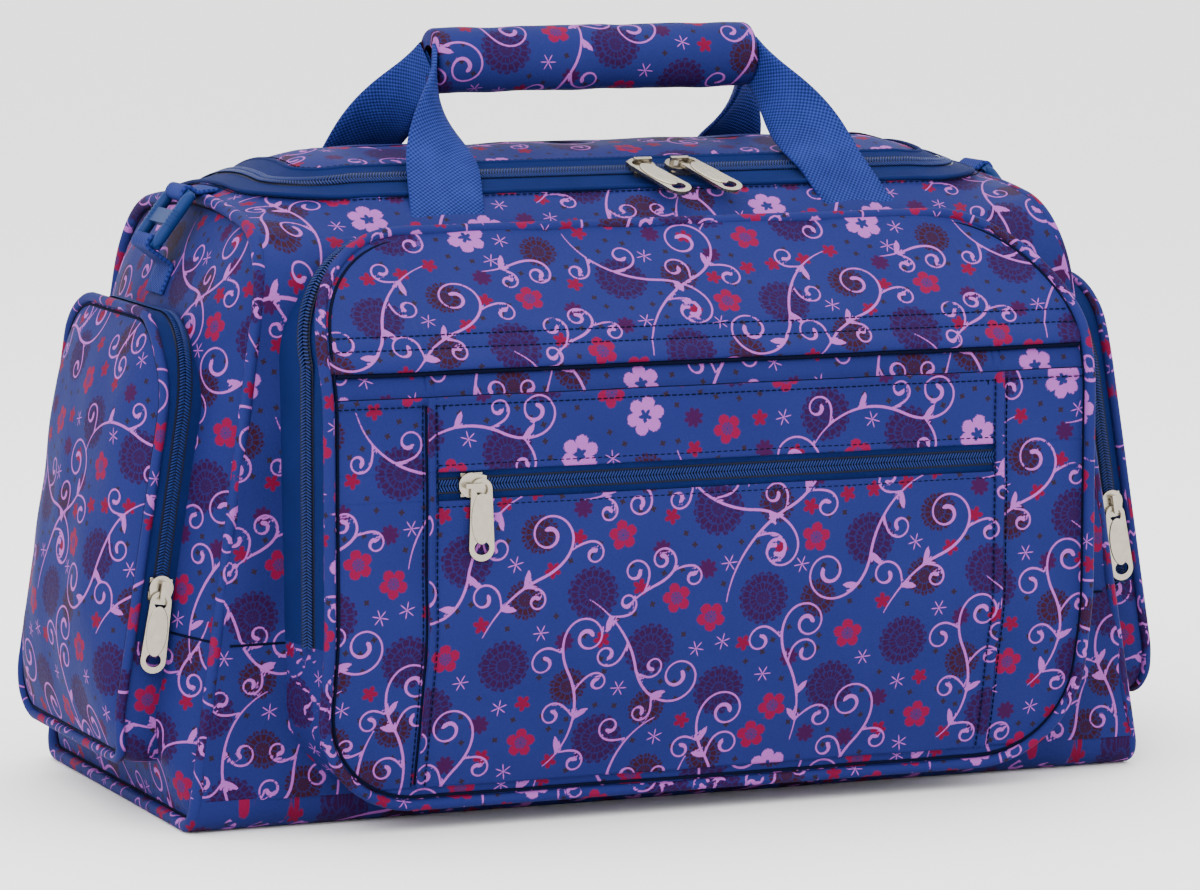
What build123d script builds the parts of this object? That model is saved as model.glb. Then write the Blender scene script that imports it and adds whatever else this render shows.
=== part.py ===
from build123d import *
from math import atan2, cos, sin
import os

# Main compartment: a soft box whose two end planes lean in towards the top
base_length = 500.0
top_length = 410.0
base_depth = 240.0
top_depth = 224.0
end_shoulder = 285.0
end_crown = 300.0
mid_shoulder = 272.0
mid_crown = 321.0
straight_top_share = 0.73
bottom_edge_radius = 14.0
top_edge_radius = 45.0
cloth = 3.0
base_seam_height = 16.0
overrun = 5.0

# Base board that stiffens the floor of the compartment
board_thickness = 3.0
board_end_gap = 6.0
board_side_gap = 17.0
board_corner_radius = 12.0

# Zips, seen across the chain
tape_width = 28.0
chain_width = 6.0
chain_height = 2.0

# Main zip: a U in plan, open at the lid's hinge line along the back
zip_front = 60.0
zip_side = 186.0
zip_corner_radius = 36.0
lid_hinge = 68.0

# Domed end panels and their piping
piping_radius = 3.2
seam_gap = 0.4
dome_height = 24.0
dome_rise_shares = (0.0, 0.42, 0.78, 1.0)
dome_inset_shares = (0.0, 0.13, 0.37, 0.68)

# End pockets, measured in the plane of the end panel
end_pocket_width = 164.0
end_pocket_bottom = 28.0
end_pocket_top = 243.0
end_pocket_top_radius = 45.0
end_pocket_bottom_radius = 14.0
end_pocket_depth = 16.0
end_zip_bottom = 93.0
end_chain_level = 26.0
bead_height = 4.0
bead_inside = 4.0
bead_outside = 1.5

# Front pocket: its side profile, as depth in front of the middle and height
front_half_width = 201.0
front_bottom = 14.0
front_top = 287.0
front_bottom_depth = 146.0
front_belly_low = 95.0
front_belly_depth = 168.0
front_belly_high = 228.0
front_top_depth = 107.0
front_belly_radius = 120.0
front_brow_radius = 60.0
front_top_corner = 58.0
front_bottom_corner = 50.0
front_gusset_inset = 4.0
front_zip_bottom = 91.0
front_zip_top_gap = 6.0

# Pieces of the front pocket's face
fold_height = 227.0
fold_drop = 5.0
fold_rise = 10.0
fold_thickness = 2.0
band_seam_height = 213.5
pocket_half_width = 152.0
pocket_bottom = 22.0
pocket_zip_height = 171.0
pocket_zip_opening = 14.0
pocket_zip_end_gap = 4.0
pocket_zip_recess = 1.2

# Handle: two webbing straps and the padded wrap that joins them
strap_width = 38.0
strap_thickness = 2.0
strap_foot_x = 112.0
strap_foot_y = 92.0
strap_foot_drop = 32.0
strap_grip_width = 24.0
strap_knee_share = 0.5
wrap_length = 175.0
wrap_diameter = 33.0
wrap_height = 363.5
wrap_end_radius = 2.5

# Strap anchors: a moulded two-window ring held by two webbing tabs
ring_drop = 11.0
ring_slope_run_share = 0.6
ring_slope_rise_share = 0.8
ring_width = 34.0
ring_length = 34.0
ring_thickness = 4.0
ring_corner_radius = 5.0
ring_bar = 4.0
ring_window_length = 9.0
ring_window_radius = 0.8
tab_width = 25.0
tab_thickness = 2.0
tab_gap = 0.2
tab_tail = 14.0
tab_drop = 16.0
upper_tab_end = 193.0

# Zip sliders and pullers, in the slider's own frame on the face of the tape
running_gap = 0.3
plate_gap = 0.6
flange_gap = 1.2
slider_length = 14.0
slider_nose_radius = 6.0
slider_tail_width = 8.6
slider_plate = 2.0
flange_thickness = 1.5
flange_length = 11.0
bridge_length = 9.4
bridge_width = 2.2
bridge_thickness = 1.5
peg_radius = 0.9
puller_length = 40.0
puller_thickness = 1.6
puller_eye_radius = 3.3
puller_rim = 2.1
puller_end_radius = 6.4
puller_slot_radius = 3.9
puller_slot_squash_share = 0.86
puller_boss_height = 0.6
puller_boss_width_share = 0.76
puller_boss_length_share = 0.5

# Where each slider is parked
main_left_place = 3.0
main_right_place = 23.0
main_puller_slant = 25.0
pocket_slider_gap = 18.0
left_slider_rise = 19.0
right_slider_rise = 35.0
front_slider_rise = 12.0

end_lean = (base_length - top_length) / 2
lean_angle = atan2(end_lean, end_crown)
straight_half = straight_top_share * top_length / 2
far = base_length
front_zip_depth = (base_depth / 2 + front_belly_depth) / 2
front_zip_top_depth = front_top_depth - front_zip_top_gap
pocket_zip_half_length = pocket_half_width - pocket_zip_end_gap
pocket_slider_place = pocket_slider_gap - pocket_zip_half_length
left_slider_height = end_zip_bottom + left_slider_rise
right_slider_height = end_zip_bottom + right_slider_rise
front_slider_height = front_zip_bottom + front_slider_rise


def rounded_section(plane, bottom, top, floor, side, crown, low_radius, high_radius):
    """A slice of the bag: flat floor, two leaning sides and an arched top, all corners rounded."""
    sides = Polyline((-top, side), (-bottom, floor), (bottom, floor), (top, side))
    arch = ThreePointArc((top, side), (0, crown), (-top, side))
    face = make_face(sides.edges() + arch.edges())
    face = fillet(face.vertices().sort_by(Axis.Y)[:2], low_radius)
    face = fillet(face.vertices().sort_by(Axis.Y)[-2:], high_radius)
    return plane * face


def end_plane(side):
    """The leaning plane of one end, with depth across and height up it."""
    return Plane(
        origin=(side * base_length / 2, 0, 0),
        x_dir=(0, 1, 0),
        z_dir=(cos(lean_angle), 0, side * sin(lean_angle)),
    )


end = end_plane(1)
end_normal = end.z_dir


def end_section(plane, inset, floor):
    """The outline of the main compartment in an end plane."""
    lift = 1 / cos(lean_angle)
    return rounded_section(
        plane,
        base_depth / 2 - inset,
        top_depth / 2 - inset,
        floor,
        end_shoulder * lift - inset,
        end_crown * lift - inset,
        bottom_edge_radius - inset,
        top_edge_radius - inset,
    )


def middle_section(place, inset, floor):
    """The outline of the main compartment where its top is straight."""
    plane = Plane(origin=(place, 0, 0), x_dir=(0, 1, 0), z_dir=(1, 0, 0))
    return rounded_section(
        plane,
        base_depth / 2 - inset,
        top_depth / 2 - inset,
        floor,
        mid_shoulder - inset,
        mid_crown - inset,
        bottom_edge_radius - inset,
        top_edge_radius - inset,
    )


def body_form(inset, floor):
    """The whole main compartment as one solid, drawn in by an inset."""
    slices = [
        end_section(end_plane(-1), inset, floor),
        middle_section(-straight_half, inset, floor),
        middle_section(straight_half, inset, floor),
        end_section(end_plane(1), inset, floor),
    ]
    return loft(slices, ruled=True)


def slab(low, high):
    """A box between two corners."""
    size = [b - a for a, b in zip(low, high)]
    middle = [(a + b) / 2 for a, b in zip(low, high)]
    return Pos(*middle) * Box(*size)


def lid_prism(spread):
    """The U of the main zip in plan, grown by a spread from the chain's middle, as a tall prism."""
    width = 2 * (zip_side + spread)
    depth = zip_front + spread + lid_hinge
    outline = Pos(0, (lid_hinge - zip_front - spread) / 2) * Rectangle(width, depth)
    outline = fillet(outline.vertices().sort_by(Axis.Y)[:2], zip_corner_radius + spread)
    return extrude(Pos(0, 0, end_crown / 2) * outline, end_crown)


body_outside = body_form(0, -overrun)
body_inside = body_form(cloth, cloth)
body_raised = body_form(-chain_height, -overrun)
lid_outer = lid_prism(tape_width / 2)
lid_inner = lid_prism(-tape_width / 2)


def bottom_panel():
    """The floor of the bag, turned up at its long edges to the seam above the floor."""
    room = slab((-far, -far, 0), (far, far, base_seam_height))
    return (body_outside & room) - body_inside


def base_board():
    """The stiff board that lies on the floor inside."""
    outline = RectangleRounded(
        base_length - 2 * board_end_gap,
        base_depth - 2 * board_side_gap,
        board_corner_radius,
    )
    return extrude(Pos(0, 0, cloth) * outline, board_thickness)


def wall(front):
    """The front or back wall from the bottom seam over the top edge to the zip or the lid's hinge."""
    near, away = (-far, 0) if front else (0, far)
    room = slab((-far, near, base_seam_height), (far, away, far))
    return (body_outside & room) - body_inside - lid_outer


def lid_panel():
    """The flap inside the main zip's U."""
    return (body_outside & lid_inner) - body_inside


def main_zip_tape():
    """The cloth tape of the main zip, both sides of the chain."""
    return (body_outside & (lid_outer - lid_inner)) - body_inside


def main_zip_chain():
    """The raised chain of the main zip, lying on its tape."""
    ring = lid_prism(chain_width / 2) - lid_prism(-chain_width / 2)
    return (body_raised & ring) - body_outside


def dome_section(step, inset, drop):
    """One level of an end panel's dome, drawn in from the end outline and raised off the end plane."""
    edge = 2 * piping_radius + seam_gap + inset
    reach = edge + dome_inset_shares[step] * top_depth / 2
    left = 1 - reach / (top_depth / 2)
    lift = 1 / cos(lean_angle)
    level = cloth + dome_rise_shares[step] * dome_height - drop
    return rounded_section(
        end.offset(level),
        base_depth / 2 - reach,
        top_depth / 2 - reach,
        reach,
        end_shoulder * lift - reach,
        end_crown * lift - reach,
        top_edge_radius * left,
        top_edge_radius * left,
    )


def dome(inset, drop):
    """The pillow shape of an end panel."""
    return loft([dome_section(step, inset, drop) for step in range(len(dome_rise_shares))])


end_dome = dome(0, 0)
dome_root = extrude(dome_section(0, 0, 0), -end_pocket_depth * 2)
dome_body = end_dome + dome_root


def dome_form(rise):
    """Everything under the end panel's dome when it is raised off the bag by some distance."""
    return Pos(*(end_normal * rise)) * dome_body


def end_panel():
    """The domed end panel with its flat seam edge."""
    plate = extrude(end_section(end, 0, 0), cloth)
    return plate + end_dome - dome(cloth, cloth)


def end_piping():
    """The corded piping round the end panel."""
    plane = end.offset(cloth + piping_radius)
    path = end_section(plane, piping_radius, piping_radius).face().outer_wire()
    profile = Plane(origin=path @ 0, z_dir=path % 0) * Circle(piping_radius)
    return sweep(profile, path)


right_panel = end_panel()
right_piping = end_piping()


def end_pocket_prism(inset):
    """The end pocket's outline, drawn in by an inset and carried outwards."""
    width = end_pocket_width - 2 * inset
    low = end_pocket_bottom + inset
    high = end_pocket_top - inset
    outline = Pos(0, (low + high) / 2) * Rectangle(width, high - low)
    outline = fillet(outline.vertices().sort_by(Axis.Y)[:2], end_pocket_bottom_radius - inset)
    outline = fillet(outline.vertices().sort_by(Axis.Y)[-2:], end_pocket_top_radius - inset)
    return extrude(end * outline, dome_height + 2 * end_pocket_depth)


def end_pocket_layer(outer_inset, inner_inset, low, high):
    """A ring of the end pocket between two insets and two heights above the end panel."""
    ring = end_pocket_prism(outer_inset)
    if inner_inset is not None:
        ring = ring - end_pocket_prism(inner_inset)
    return (ring & dome_form(high)) - dome_form(low)


def above_end_seam(upper):
    """The half of space above or below the cross seam where the end pocket's zip stops."""
    low, high = (end_zip_bottom, far) if upper else (-far, end_zip_bottom)
    return slab((-far, -far, low), (far, far, high))


def end_pocket_panel():
    """The face of the end pocket."""
    return end_pocket_layer(0, None, end_pocket_depth, end_pocket_depth + cloth)


def end_pocket_side(upper):
    """The zip tape above the cross seam, or the printed side below it."""
    return end_pocket_layer(0, cloth, 0, end_pocket_depth) & above_end_seam(upper)


def end_pocket_chain():
    """The chain along the middle of the end pocket's zip tape."""
    ring = end_pocket_prism(-chain_height) - end_pocket_prism(0)
    low = end_chain_level - chain_width / 2
    band = end * slab((-far, -far, low), (far, far, low + chain_width))
    return (ring & band & above_end_seam(True)) - dome_form(0)


def end_pocket_piping():
    """The piping bead along the edge of the end pocket's face."""
    base = end_pocket_depth + cloth
    return end_pocket_layer(-bead_outside, bead_inside, base, base + bead_height)


def front_solid(shift, inset):
    """The front pocket as one solid: its side profile carried across, trimmed to its rounded outline."""
    profile = [
        (-front_bottom_depth + shift, front_bottom - overrun),
        (-front_belly_depth + shift, front_belly_low),
        (-front_belly_depth + shift, front_belly_high),
        (-front_top_depth + shift, front_top),
        (-front_top_depth + shift + overrun, front_top + overrun),
        (0, front_top + overrun),
        (0, front_bottom - overrun),
    ]
    face = make_face(Polyline(*profile, close=True).edges())
    belly = face.vertices().filter_by_position(Axis.Y, front_belly_low - overrun, front_belly_low + overrun)
    face = fillet(belly, front_belly_radius)
    brow = face.vertices().filter_by_position(Axis.Y, front_belly_high - overrun, front_belly_high + overrun)
    face = fillet(brow, front_brow_radius)
    side = Plane(origin=(-far, 0, 0), x_dir=(0, 1, 0), z_dir=(1, 0, 0))
    return extrude(side * face, 2 * far) & front_outline(inset)


def front_outline(inset):
    """The front pocket's rounded outline seen from the front, carried through the bag."""
    width = 2 * (front_half_width - inset)
    low = front_bottom + inset
    high = front_top - inset
    outline = Pos(0, (low + high) / 2) * Rectangle(width, high - low)
    outline = fillet(outline.vertices().sort_by(Axis.Y)[:2], front_bottom_corner - inset)
    outline = fillet(outline.vertices().sort_by(Axis.Y)[-2:], front_top_corner - inset)
    return extrude(Plane.XZ * outline, far)


front_outside = front_solid(0, 0)
front_inside = front_solid(cloth, 0)
front_sheet = front_outside - front_inside


def front_gusset_ring():
    """The side wall of the front pocket, from the back of its face to the bag's front wall."""
    ring = front_outline(front_gusset_inset) - front_outline(front_gusset_inset + cloth)
    return (ring & front_inside) - body_outside


front_ring = front_gusset_ring()


def front_side(upper):
    """The zip tape above the side seams, or the printed side below them."""
    low, high = (front_zip_bottom, far) if upper else (-far, front_zip_bottom)
    return front_ring & slab((-far, -far, low), (far, far, high))


def front_pocket_chain():
    """The chain along the middle of the front pocket's zip tape."""
    half = chain_width / 2
    knee = front_belly_high
    run = [
        (-front_zip_depth - half, front_zip_bottom),
        (-front_zip_depth - half, knee),
        (-front_zip_top_depth - half, front_top + overrun),
        (-front_zip_top_depth + half, front_top + overrun),
        (-front_zip_depth + half, knee),
        (-front_zip_depth + half, front_zip_bottom),
    ]
    side = Plane(origin=(-far, 0, 0), x_dir=(0, 1, 0), z_dir=(1, 0, 0))
    band = extrude(side * make_face(Polyline(*run, close=True).edges()), 2 * far)
    ring = front_outline(front_gusset_inset - chain_height) - front_outline(front_gusset_inset)
    return (ring & band & front_inside) - body_outside


def front_piping():
    """The piping bead along the edge of the front pocket's face."""
    ring = front_solid(-bead_height, -bead_outside) - front_outline(bead_inside)
    return ring - front_solid(0, -bead_outside)


def front_upper_panel():
    """The upper face, ending in a folded hem that hangs over the slip pocket."""
    sheet = front_sheet & slab((-far, -far, fold_height), (far, 0, far))
    hem = front_solid(-fold_thickness, bead_inside) - front_outside
    room = slab((-far, -far, fold_height - fold_drop), (far, 0, fold_height + fold_rise))
    return sheet + (hem & room)


def slip_pocket_band():
    """The band of the slip pocket that shows below the fold."""
    return front_sheet & slab((-far, -far, band_seam_height), (far, 0, fold_height))


def pocket_area():
    """Everything behind and before the face of the small zipped pocket."""
    return slab((-pocket_half_width, -far, pocket_bottom), (pocket_half_width, 0, band_seam_height))


def pocket_slot():
    """The long opening for the small pocket's zip."""
    half = pocket_zip_opening / 2
    low = (-pocket_zip_half_length, -far, pocket_zip_height - half)
    high = (pocket_zip_half_length, 0, pocket_zip_height + half)
    return slab(low, high)


def front_lower_panel():
    """The face round the small zipped pocket, below the slip pocket."""
    return (front_sheet & slab((-far, -far, 0), (far, 0, band_seam_height))) - pocket_area()


def zip_pocket_panel():
    """The face of the small zipped pocket, with its opening."""
    return (front_sheet & pocket_area()) - pocket_slot()


def pocket_zip_tape():
    """The tape of the small pocket's zip, set back in its opening."""
    return (front_solid(pocket_zip_recess, 0) - front_inside) & pocket_slot()


def pocket_zip_chain():
    """The chain of the small pocket's zip."""
    half = chain_width / 2
    low = (-pocket_zip_half_length, -far, pocket_zip_height - half)
    high = (pocket_zip_half_length, 0, pocket_zip_height + half)
    strip = front_solid(pocket_zip_recess - chain_height, 0) - front_solid(pocket_zip_recess, 0)
    return strip & slab(low, high)


def strap_leg(foot, top):
    """Webbing from its sewn foot, flat to a knee and then turning upright to the end of the wrap."""
    rise = top - foot
    knee_plane = Plane(origin=foot + rise * strap_knee_share, x_dir=(1, 0, 0), z_dir=rise)
    top_plane = Plane(origin=top, x_dir=(0, 0, -1), z_dir=(1, 0, 0))
    knee = knee_plane * Rectangle(strap_width, strap_thickness)
    high = top_plane * Rectangle(strap_grip_width, strap_thickness)
    return extrude(knee, -rise.length * strap_knee_share) + loft([knee, high], ruled=True)


def handle_wrap():
    """The padded wrap that closes round both straps."""
    roll = Rot(0, 90, 0) * Cylinder(wrap_diameter / 2, wrap_length)
    roll = fillet(roll.edges().filter_by(GeomType.CIRCLE), wrap_end_radius)
    slot = Box(wrap_length + overrun, 2 * strap_thickness, strap_grip_width)
    return Pos(0, 0, wrap_height) * (roll - slot)


wrap = handle_wrap()


def front_handle_strap():
    """The front handle strap: two legs and the flat run inside the wrap."""
    half_grip = strap_grip_width / 2
    low = (-wrap_length / 2, -strap_thickness, wrap_height - half_grip)
    high = (0, 0, wrap_height + half_grip)
    foot = Vector(-strap_foot_x, -strap_foot_y, mid_crown - strap_foot_drop)
    top = Vector(-wrap_length / 2, -strap_thickness / 2, wrap_height)
    half = slab(low, high) + strap_leg(foot, top)
    half = half - body_outside - front_sheet - front_ring - wrap
    return half + mirror(half, Plane.YZ)


def ring_plane():
    """The plane that the anchor ring lies in, just clear of the piping at the top of the end."""
    along = Vector(-ring_slope_run_share, 0, ring_slope_rise_share)
    out = Vector(ring_slope_rise_share, 0, ring_slope_run_share)
    lift = 1 / cos(lean_angle)
    seam = end.offset(cloth + piping_radius)
    bead = seam.from_local_coords(Vector(0, end_crown * lift - piping_radius, 0))
    clear = piping_radius + running_gap + tab_gap + tab_thickness + ring_thickness / 2
    level = bead.dot(out) + clear
    slide = (end_crown - ring_drop - level * out.Z) / along.Z
    return Plane(origin=out * level + along * slide, x_dir=(0, 1, 0), z_dir=out)


ring_frame = ring_plane()
ring_bar_place = ring_length / 2 - ring_bar / 2


def anchor_ring():
    """The moulded ring: two bars, two side rails and the plate between its windows."""
    outline = RectangleRounded(ring_width, ring_length, ring_corner_radius)
    window_place = ring_length / 2 - ring_bar - ring_window_length / 2
    window = RectangleRounded(ring_width - 2 * ring_bar, ring_window_length, ring_window_radius)
    for side in (-1, 1):
        outline = outline - Pos(0, side * window_place) * window
    return extrude(ring_frame * Pos(0, 0, -ring_thickness / 2) * outline, ring_thickness)


def tab_loop(side):
    """The loop of webbing round one bar of the ring."""
    inner = ring_bar + 2 * tab_gap
    outer = inner + 2 * tab_thickness
    inner_height = ring_thickness + 2 * tab_gap
    outer_height = inner_height + 2 * tab_thickness
    loop = Box(tab_width, outer, outer_height) - Box(tab_width, inner, inner_height)
    return ring_frame * Pos(0, side * ring_bar_place, 0) * loop


loop_end = ring_bar_place + ring_bar / 2 + tab_gap + tab_thickness
loop_under = ring_thickness / 2 + tab_gap + tab_thickness


def lower_anchor_tab():
    """The lower tab: a loop round the ring's lower bar and a tail sewn to the end panel."""
    half = tab_width / 2
    near = tab_thickness - loop_end
    neck = slab((-half, -loop_end, -loop_under - tab_drop), (half, near, -loop_under))
    room = slab((-half, -loop_end - tab_tail, -loop_under - 2 * tab_drop), (half, near, 0))
    tail = (ring_frame * room) & dome_form(tab_thickness)
    return tab_loop(-1) + ring_frame * neck + tail - dome_form(0)


def upper_anchor_tab():
    """The upper tab: a loop round the ring's upper bar and a tail sewn down beside the zip."""
    half = tab_width / 2
    seam = top_length / 2 - seam_gap
    room = slab((upper_tab_end, -half, end_crown / 2), (seam, half, mid_crown))
    tail = body_form(-tab_thickness, -overrun) & room
    inner = ring_frame.from_local_coords(Vector(0, loop_end, -loop_under))
    outer = ring_frame.from_local_coords(Vector(0, loop_end, tab_thickness - loop_under))
    corners = [
        (inner.X, inner.Z),
        (outer.X, outer.Z),
        (seam, end_crown + tab_thickness),
        (seam, end_crown),
    ]
    strip = make_face(Polyline(*corners, close=True).edges())
    neck = extrude(Plane.XZ * strip, half, both=True)
    return tab_loop(1) + tail + neck - body_outside - right_piping - right_panel


plate_level = chain_height + plate_gap
bridge_base = plate_level + slider_plate
puller_level = bridge_base + running_gap
bridge_level = puller_level + puller_thickness + running_gap
peg_place = bridge_length / 2 - peg_radius


def slider():
    """A zip slider: plate, two flanges beside the chain, and the bridge that holds the puller."""
    nose = Pos(slider_nose_radius - slider_length / 2) * Circle(slider_nose_radius)
    tail = Pos(slider_length / 2 - slider_plate / 2) * Rectangle(slider_plate, slider_tail_width)
    outline = make_hull(nose.edges() + tail.edges())
    body = extrude(Pos(0, 0, plate_level) * outline, slider_plate)
    flange_room = chain_width / 2 + flange_gap
    for side in (-1, 1):
        low = (-flange_length / 2, flange_room, running_gap)
        high = (flange_length / 2, flange_room + flange_thickness, plate_level)
        flange = slab(low, high)
        body = body + (flange if side > 0 else mirror(flange, Plane.XZ))
    bar = slab(
        (-bridge_length / 2, -bridge_width / 2, bridge_level),
        (bridge_length / 2, bridge_width / 2, bridge_level + bridge_thickness),
    )
    leg_height = bridge_level - bridge_base
    foot = slab(
        (-bridge_length / 2, -bridge_width / 2, bridge_base),
        (-bridge_length / 2 + bridge_thickness, bridge_width / 2, bridge_level),
    )
    peg = Pos(peg_place, 0, bridge_base + leg_height / 2) * Cylinder(peg_radius, leg_height)
    return body + bar + foot + peg


def puller():
    """A puller hanging from the peg at its origin: eye, raised oval and rounded slot."""
    eye_centre = peg_radius + running_gap - puller_eye_radius
    eye_outer = puller_eye_radius + puller_rim
    bottom = eye_centre + eye_outer - puller_length
    end_centre = bottom + puller_end_radius
    top_round = Pos(0, eye_centre) * Circle(eye_outer)
    end_round = Pos(0, end_centre) * Circle(puller_end_radius)
    outline = make_hull(top_round.edges() + end_round.edges())
    slot = Ellipse(puller_slot_radius, puller_slot_radius * puller_slot_squash_share)
    outline = outline - Pos(0, eye_centre) * Circle(puller_eye_radius) - Pos(0, end_centre) * slot
    plate = extrude(Pos(0, 0, puller_level) * outline, puller_thickness)
    boss_width = puller_boss_width_share * puller_end_radius
    boss_length = puller_boss_length_share * (eye_centre - end_centre) - puller_rim
    middle = (eye_centre - puller_eye_radius + end_centre + puller_slot_radius * puller_slot_squash_share) / 2
    boss = Pos(0, middle, puller_level + puller_thickness) * Ellipse(boss_width, boss_length)
    return plate + extrude(boss, puller_boss_height)


def parked(frame, slant):
    """A slider and its puller set on a zip, with the puller turned about the bridge's peg."""
    turned = Pos(peg_place, 0, 0) * Rot(0, 0, slant) * puller()
    return frame * slider(), frame * turned


def arch_frame(place, travel):
    """The tape's face on the front run of the main zip."""
    rise = mid_crown - mid_shoulder
    half = top_depth / 2
    radius = (half * half + rise * rise) / (2 * rise)
    drop = (radius * radius - zip_front * zip_front) ** 0.5
    normal = Vector(0, -zip_front, drop)
    origin = (place, -zip_front, mid_crown - radius + drop)
    return Plane(origin=origin, x_dir=(travel, 0, 0), z_dir=normal)


def end_frame(height):
    """The tape's face on the front run of an end pocket's zip."""
    place = Vector(-end_pocket_width / 2, height / cos(lean_angle), end_chain_level)
    return Plane(origin=end.from_local_coords(place), x_dir=-end.y_dir, z_dir=(0, -1, 0))


def front_frame():
    """The tape's face on the right-hand run of the front pocket's zip."""
    origin = (front_half_width - front_gusset_inset, -front_zip_depth, front_slider_height)
    return Plane(origin=origin, x_dir=(0, 0, -1), z_dir=(1, 0, 0))


def pocket_frame():
    """The tape's face on the small pocket's zip."""
    face = -front_belly_depth + pocket_zip_recess
    origin = (pocket_slider_place, face, pocket_zip_height)
    return Plane(origin=origin, x_dir=(1, 0, 0), z_dir=(0, -1, 0))


pieces = {
    "bottom_panel": bottom_panel(),
    "base_board": base_board(),
    "front_wall": wall(True),
    "back_panel": wall(False),
    "lid_panel": lid_panel(),
    "main_zip_tape": main_zip_tape(),
    "main_zip_chain": main_zip_chain(),
    "front_pocket_gusset": front_side(False),
    "front_pocket_zip_tape": front_side(True),
    "front_pocket_zip_chain": front_pocket_chain(),
    "front_pocket_piping": front_piping(),
    "front_upper_panel": front_upper_panel(),
    "slip_pocket_band": slip_pocket_band(),
    "front_lower_panel": front_lower_panel(),
    "zip_pocket_panel": zip_pocket_panel(),
    "pocket_zip_tape": pocket_zip_tape(),
    "pocket_zip_chain": pocket_zip_chain(),
    "front_handle_strap": front_handle_strap(),
    "handle_wrap": wrap,
}
pieces["rear_handle_strap"] = mirror(pieces["front_handle_strap"], Plane.XZ)

end_pieces = {
    "end_panel": right_panel,
    "end_piping": right_piping,
    "end_pocket_panel": end_pocket_panel(),
    "end_pocket_gusset": end_pocket_side(False),
    "end_pocket_zip_tape": end_pocket_side(True),
    "end_pocket_zip_chain": end_pocket_chain(),
    "end_pocket_piping": end_pocket_piping(),
    "anchor_ring": anchor_ring(),
    "lower_anchor_tab": lower_anchor_tab(),
    "upper_anchor_tab": upper_anchor_tab(),
}
for name, shape in end_pieces.items():
    pieces["right_" + name] = shape
    pieces["left_" + name] = mirror(shape, Plane.YZ)

left_travel = -1
right_travel = 1
quarter_turn = 90
half_turn = 180
zips = {
    "main_left": parked(arch_frame(main_left_place, left_travel), half_turn + main_puller_slant),
    "main_right": parked(arch_frame(main_right_place, right_travel), main_puller_slant),
    "pocket": parked(pocket_frame(), 0),
    "front_pocket": parked(front_frame(), quarter_turn),
    "right_end": parked(end_frame(right_slider_height), quarter_turn),
}
left_end = parked(end_frame(left_slider_height), quarter_turn)
zips["left_end"] = [mirror(shape, Plane.YZ) for shape in left_end]
for name, (body, pull) in zips.items():
    pieces[name + "_slider"] = body
    pieces[name + "_puller"] = pull

os.makedirs("parts", exist_ok=True)
for name, shape in pieces.items():
    export_step(shape, f"parts/{name}.step")
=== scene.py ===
import math

import bpy
import numpy as np
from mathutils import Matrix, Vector


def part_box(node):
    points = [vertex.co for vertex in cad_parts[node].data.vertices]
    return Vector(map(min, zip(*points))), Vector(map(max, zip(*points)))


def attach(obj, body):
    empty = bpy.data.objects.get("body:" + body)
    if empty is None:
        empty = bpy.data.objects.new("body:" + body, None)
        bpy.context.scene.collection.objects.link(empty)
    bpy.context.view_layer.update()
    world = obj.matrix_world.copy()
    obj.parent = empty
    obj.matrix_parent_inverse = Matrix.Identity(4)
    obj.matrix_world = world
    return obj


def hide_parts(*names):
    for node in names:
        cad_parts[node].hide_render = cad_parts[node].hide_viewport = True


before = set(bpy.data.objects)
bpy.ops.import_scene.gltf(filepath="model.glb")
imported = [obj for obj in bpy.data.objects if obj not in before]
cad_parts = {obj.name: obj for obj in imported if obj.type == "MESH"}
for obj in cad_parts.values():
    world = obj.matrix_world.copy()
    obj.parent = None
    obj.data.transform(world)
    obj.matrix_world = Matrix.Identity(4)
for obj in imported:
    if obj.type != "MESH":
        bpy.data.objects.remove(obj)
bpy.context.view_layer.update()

# Camera, floor and light: a long lens from the bag's front left, on a plain white sweep
# with one large soft key light from the left and weaker ones from the right, above and the left side.
camera = bpy.data.objects.new("camera", bpy.data.cameras.new("camera"))
bpy.context.scene.collection.objects.link(camera)
camera.data.lens = 170.8
camera.data.sensor_width = 36.0
camera.data.clip_end = 50.0
camera.location = (-1.0948, -2.686, 0.5248)
camera_aim = Vector((0.0057, 0.0, 0.1642))
camera.rotation_euler = (camera_aim - camera.location).to_track_quat("-Z", "Y").to_euler()
bpy.context.scene.camera = camera


def lamp(name, place, aim, size, power):
    """A square soft light at a place, turned to face a point."""
    data = bpy.data.lights.new(name, "AREA")
    data.size = size
    data.energy = power
    light = bpy.data.objects.new(name, data)
    light.location = place
    light.rotation_euler = (Vector(aim) - Vector(place)).to_track_quat("-Z", "Y").to_euler()
    bpy.context.scene.collection.objects.link(light)


lamp("key", (-1.6, -1.9, 1.9), (0, 0, 0.15), 1.6, 56)
lamp("fill", (2.0, -1.6, 1.0), (0, 0, 0.15), 1.8, 24)
lamp("top", (0.0, 0.3, 2.2), (0, 0, 0.2), 1.6, 30)
lamp("side", (-2.4, -0.4, 0.9), (-0.2, 0, 0.15), 1.4, 10)

world = bpy.data.worlds.new("world")
bpy.context.scene.world = world
world.use_nodes = True
world.node_tree.nodes["Background"].inputs["Color"].default_value = (1.0, 1.0, 1.0, 1)
world.node_tree.nodes["Background"].inputs["Strength"].default_value = 2.4

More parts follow.
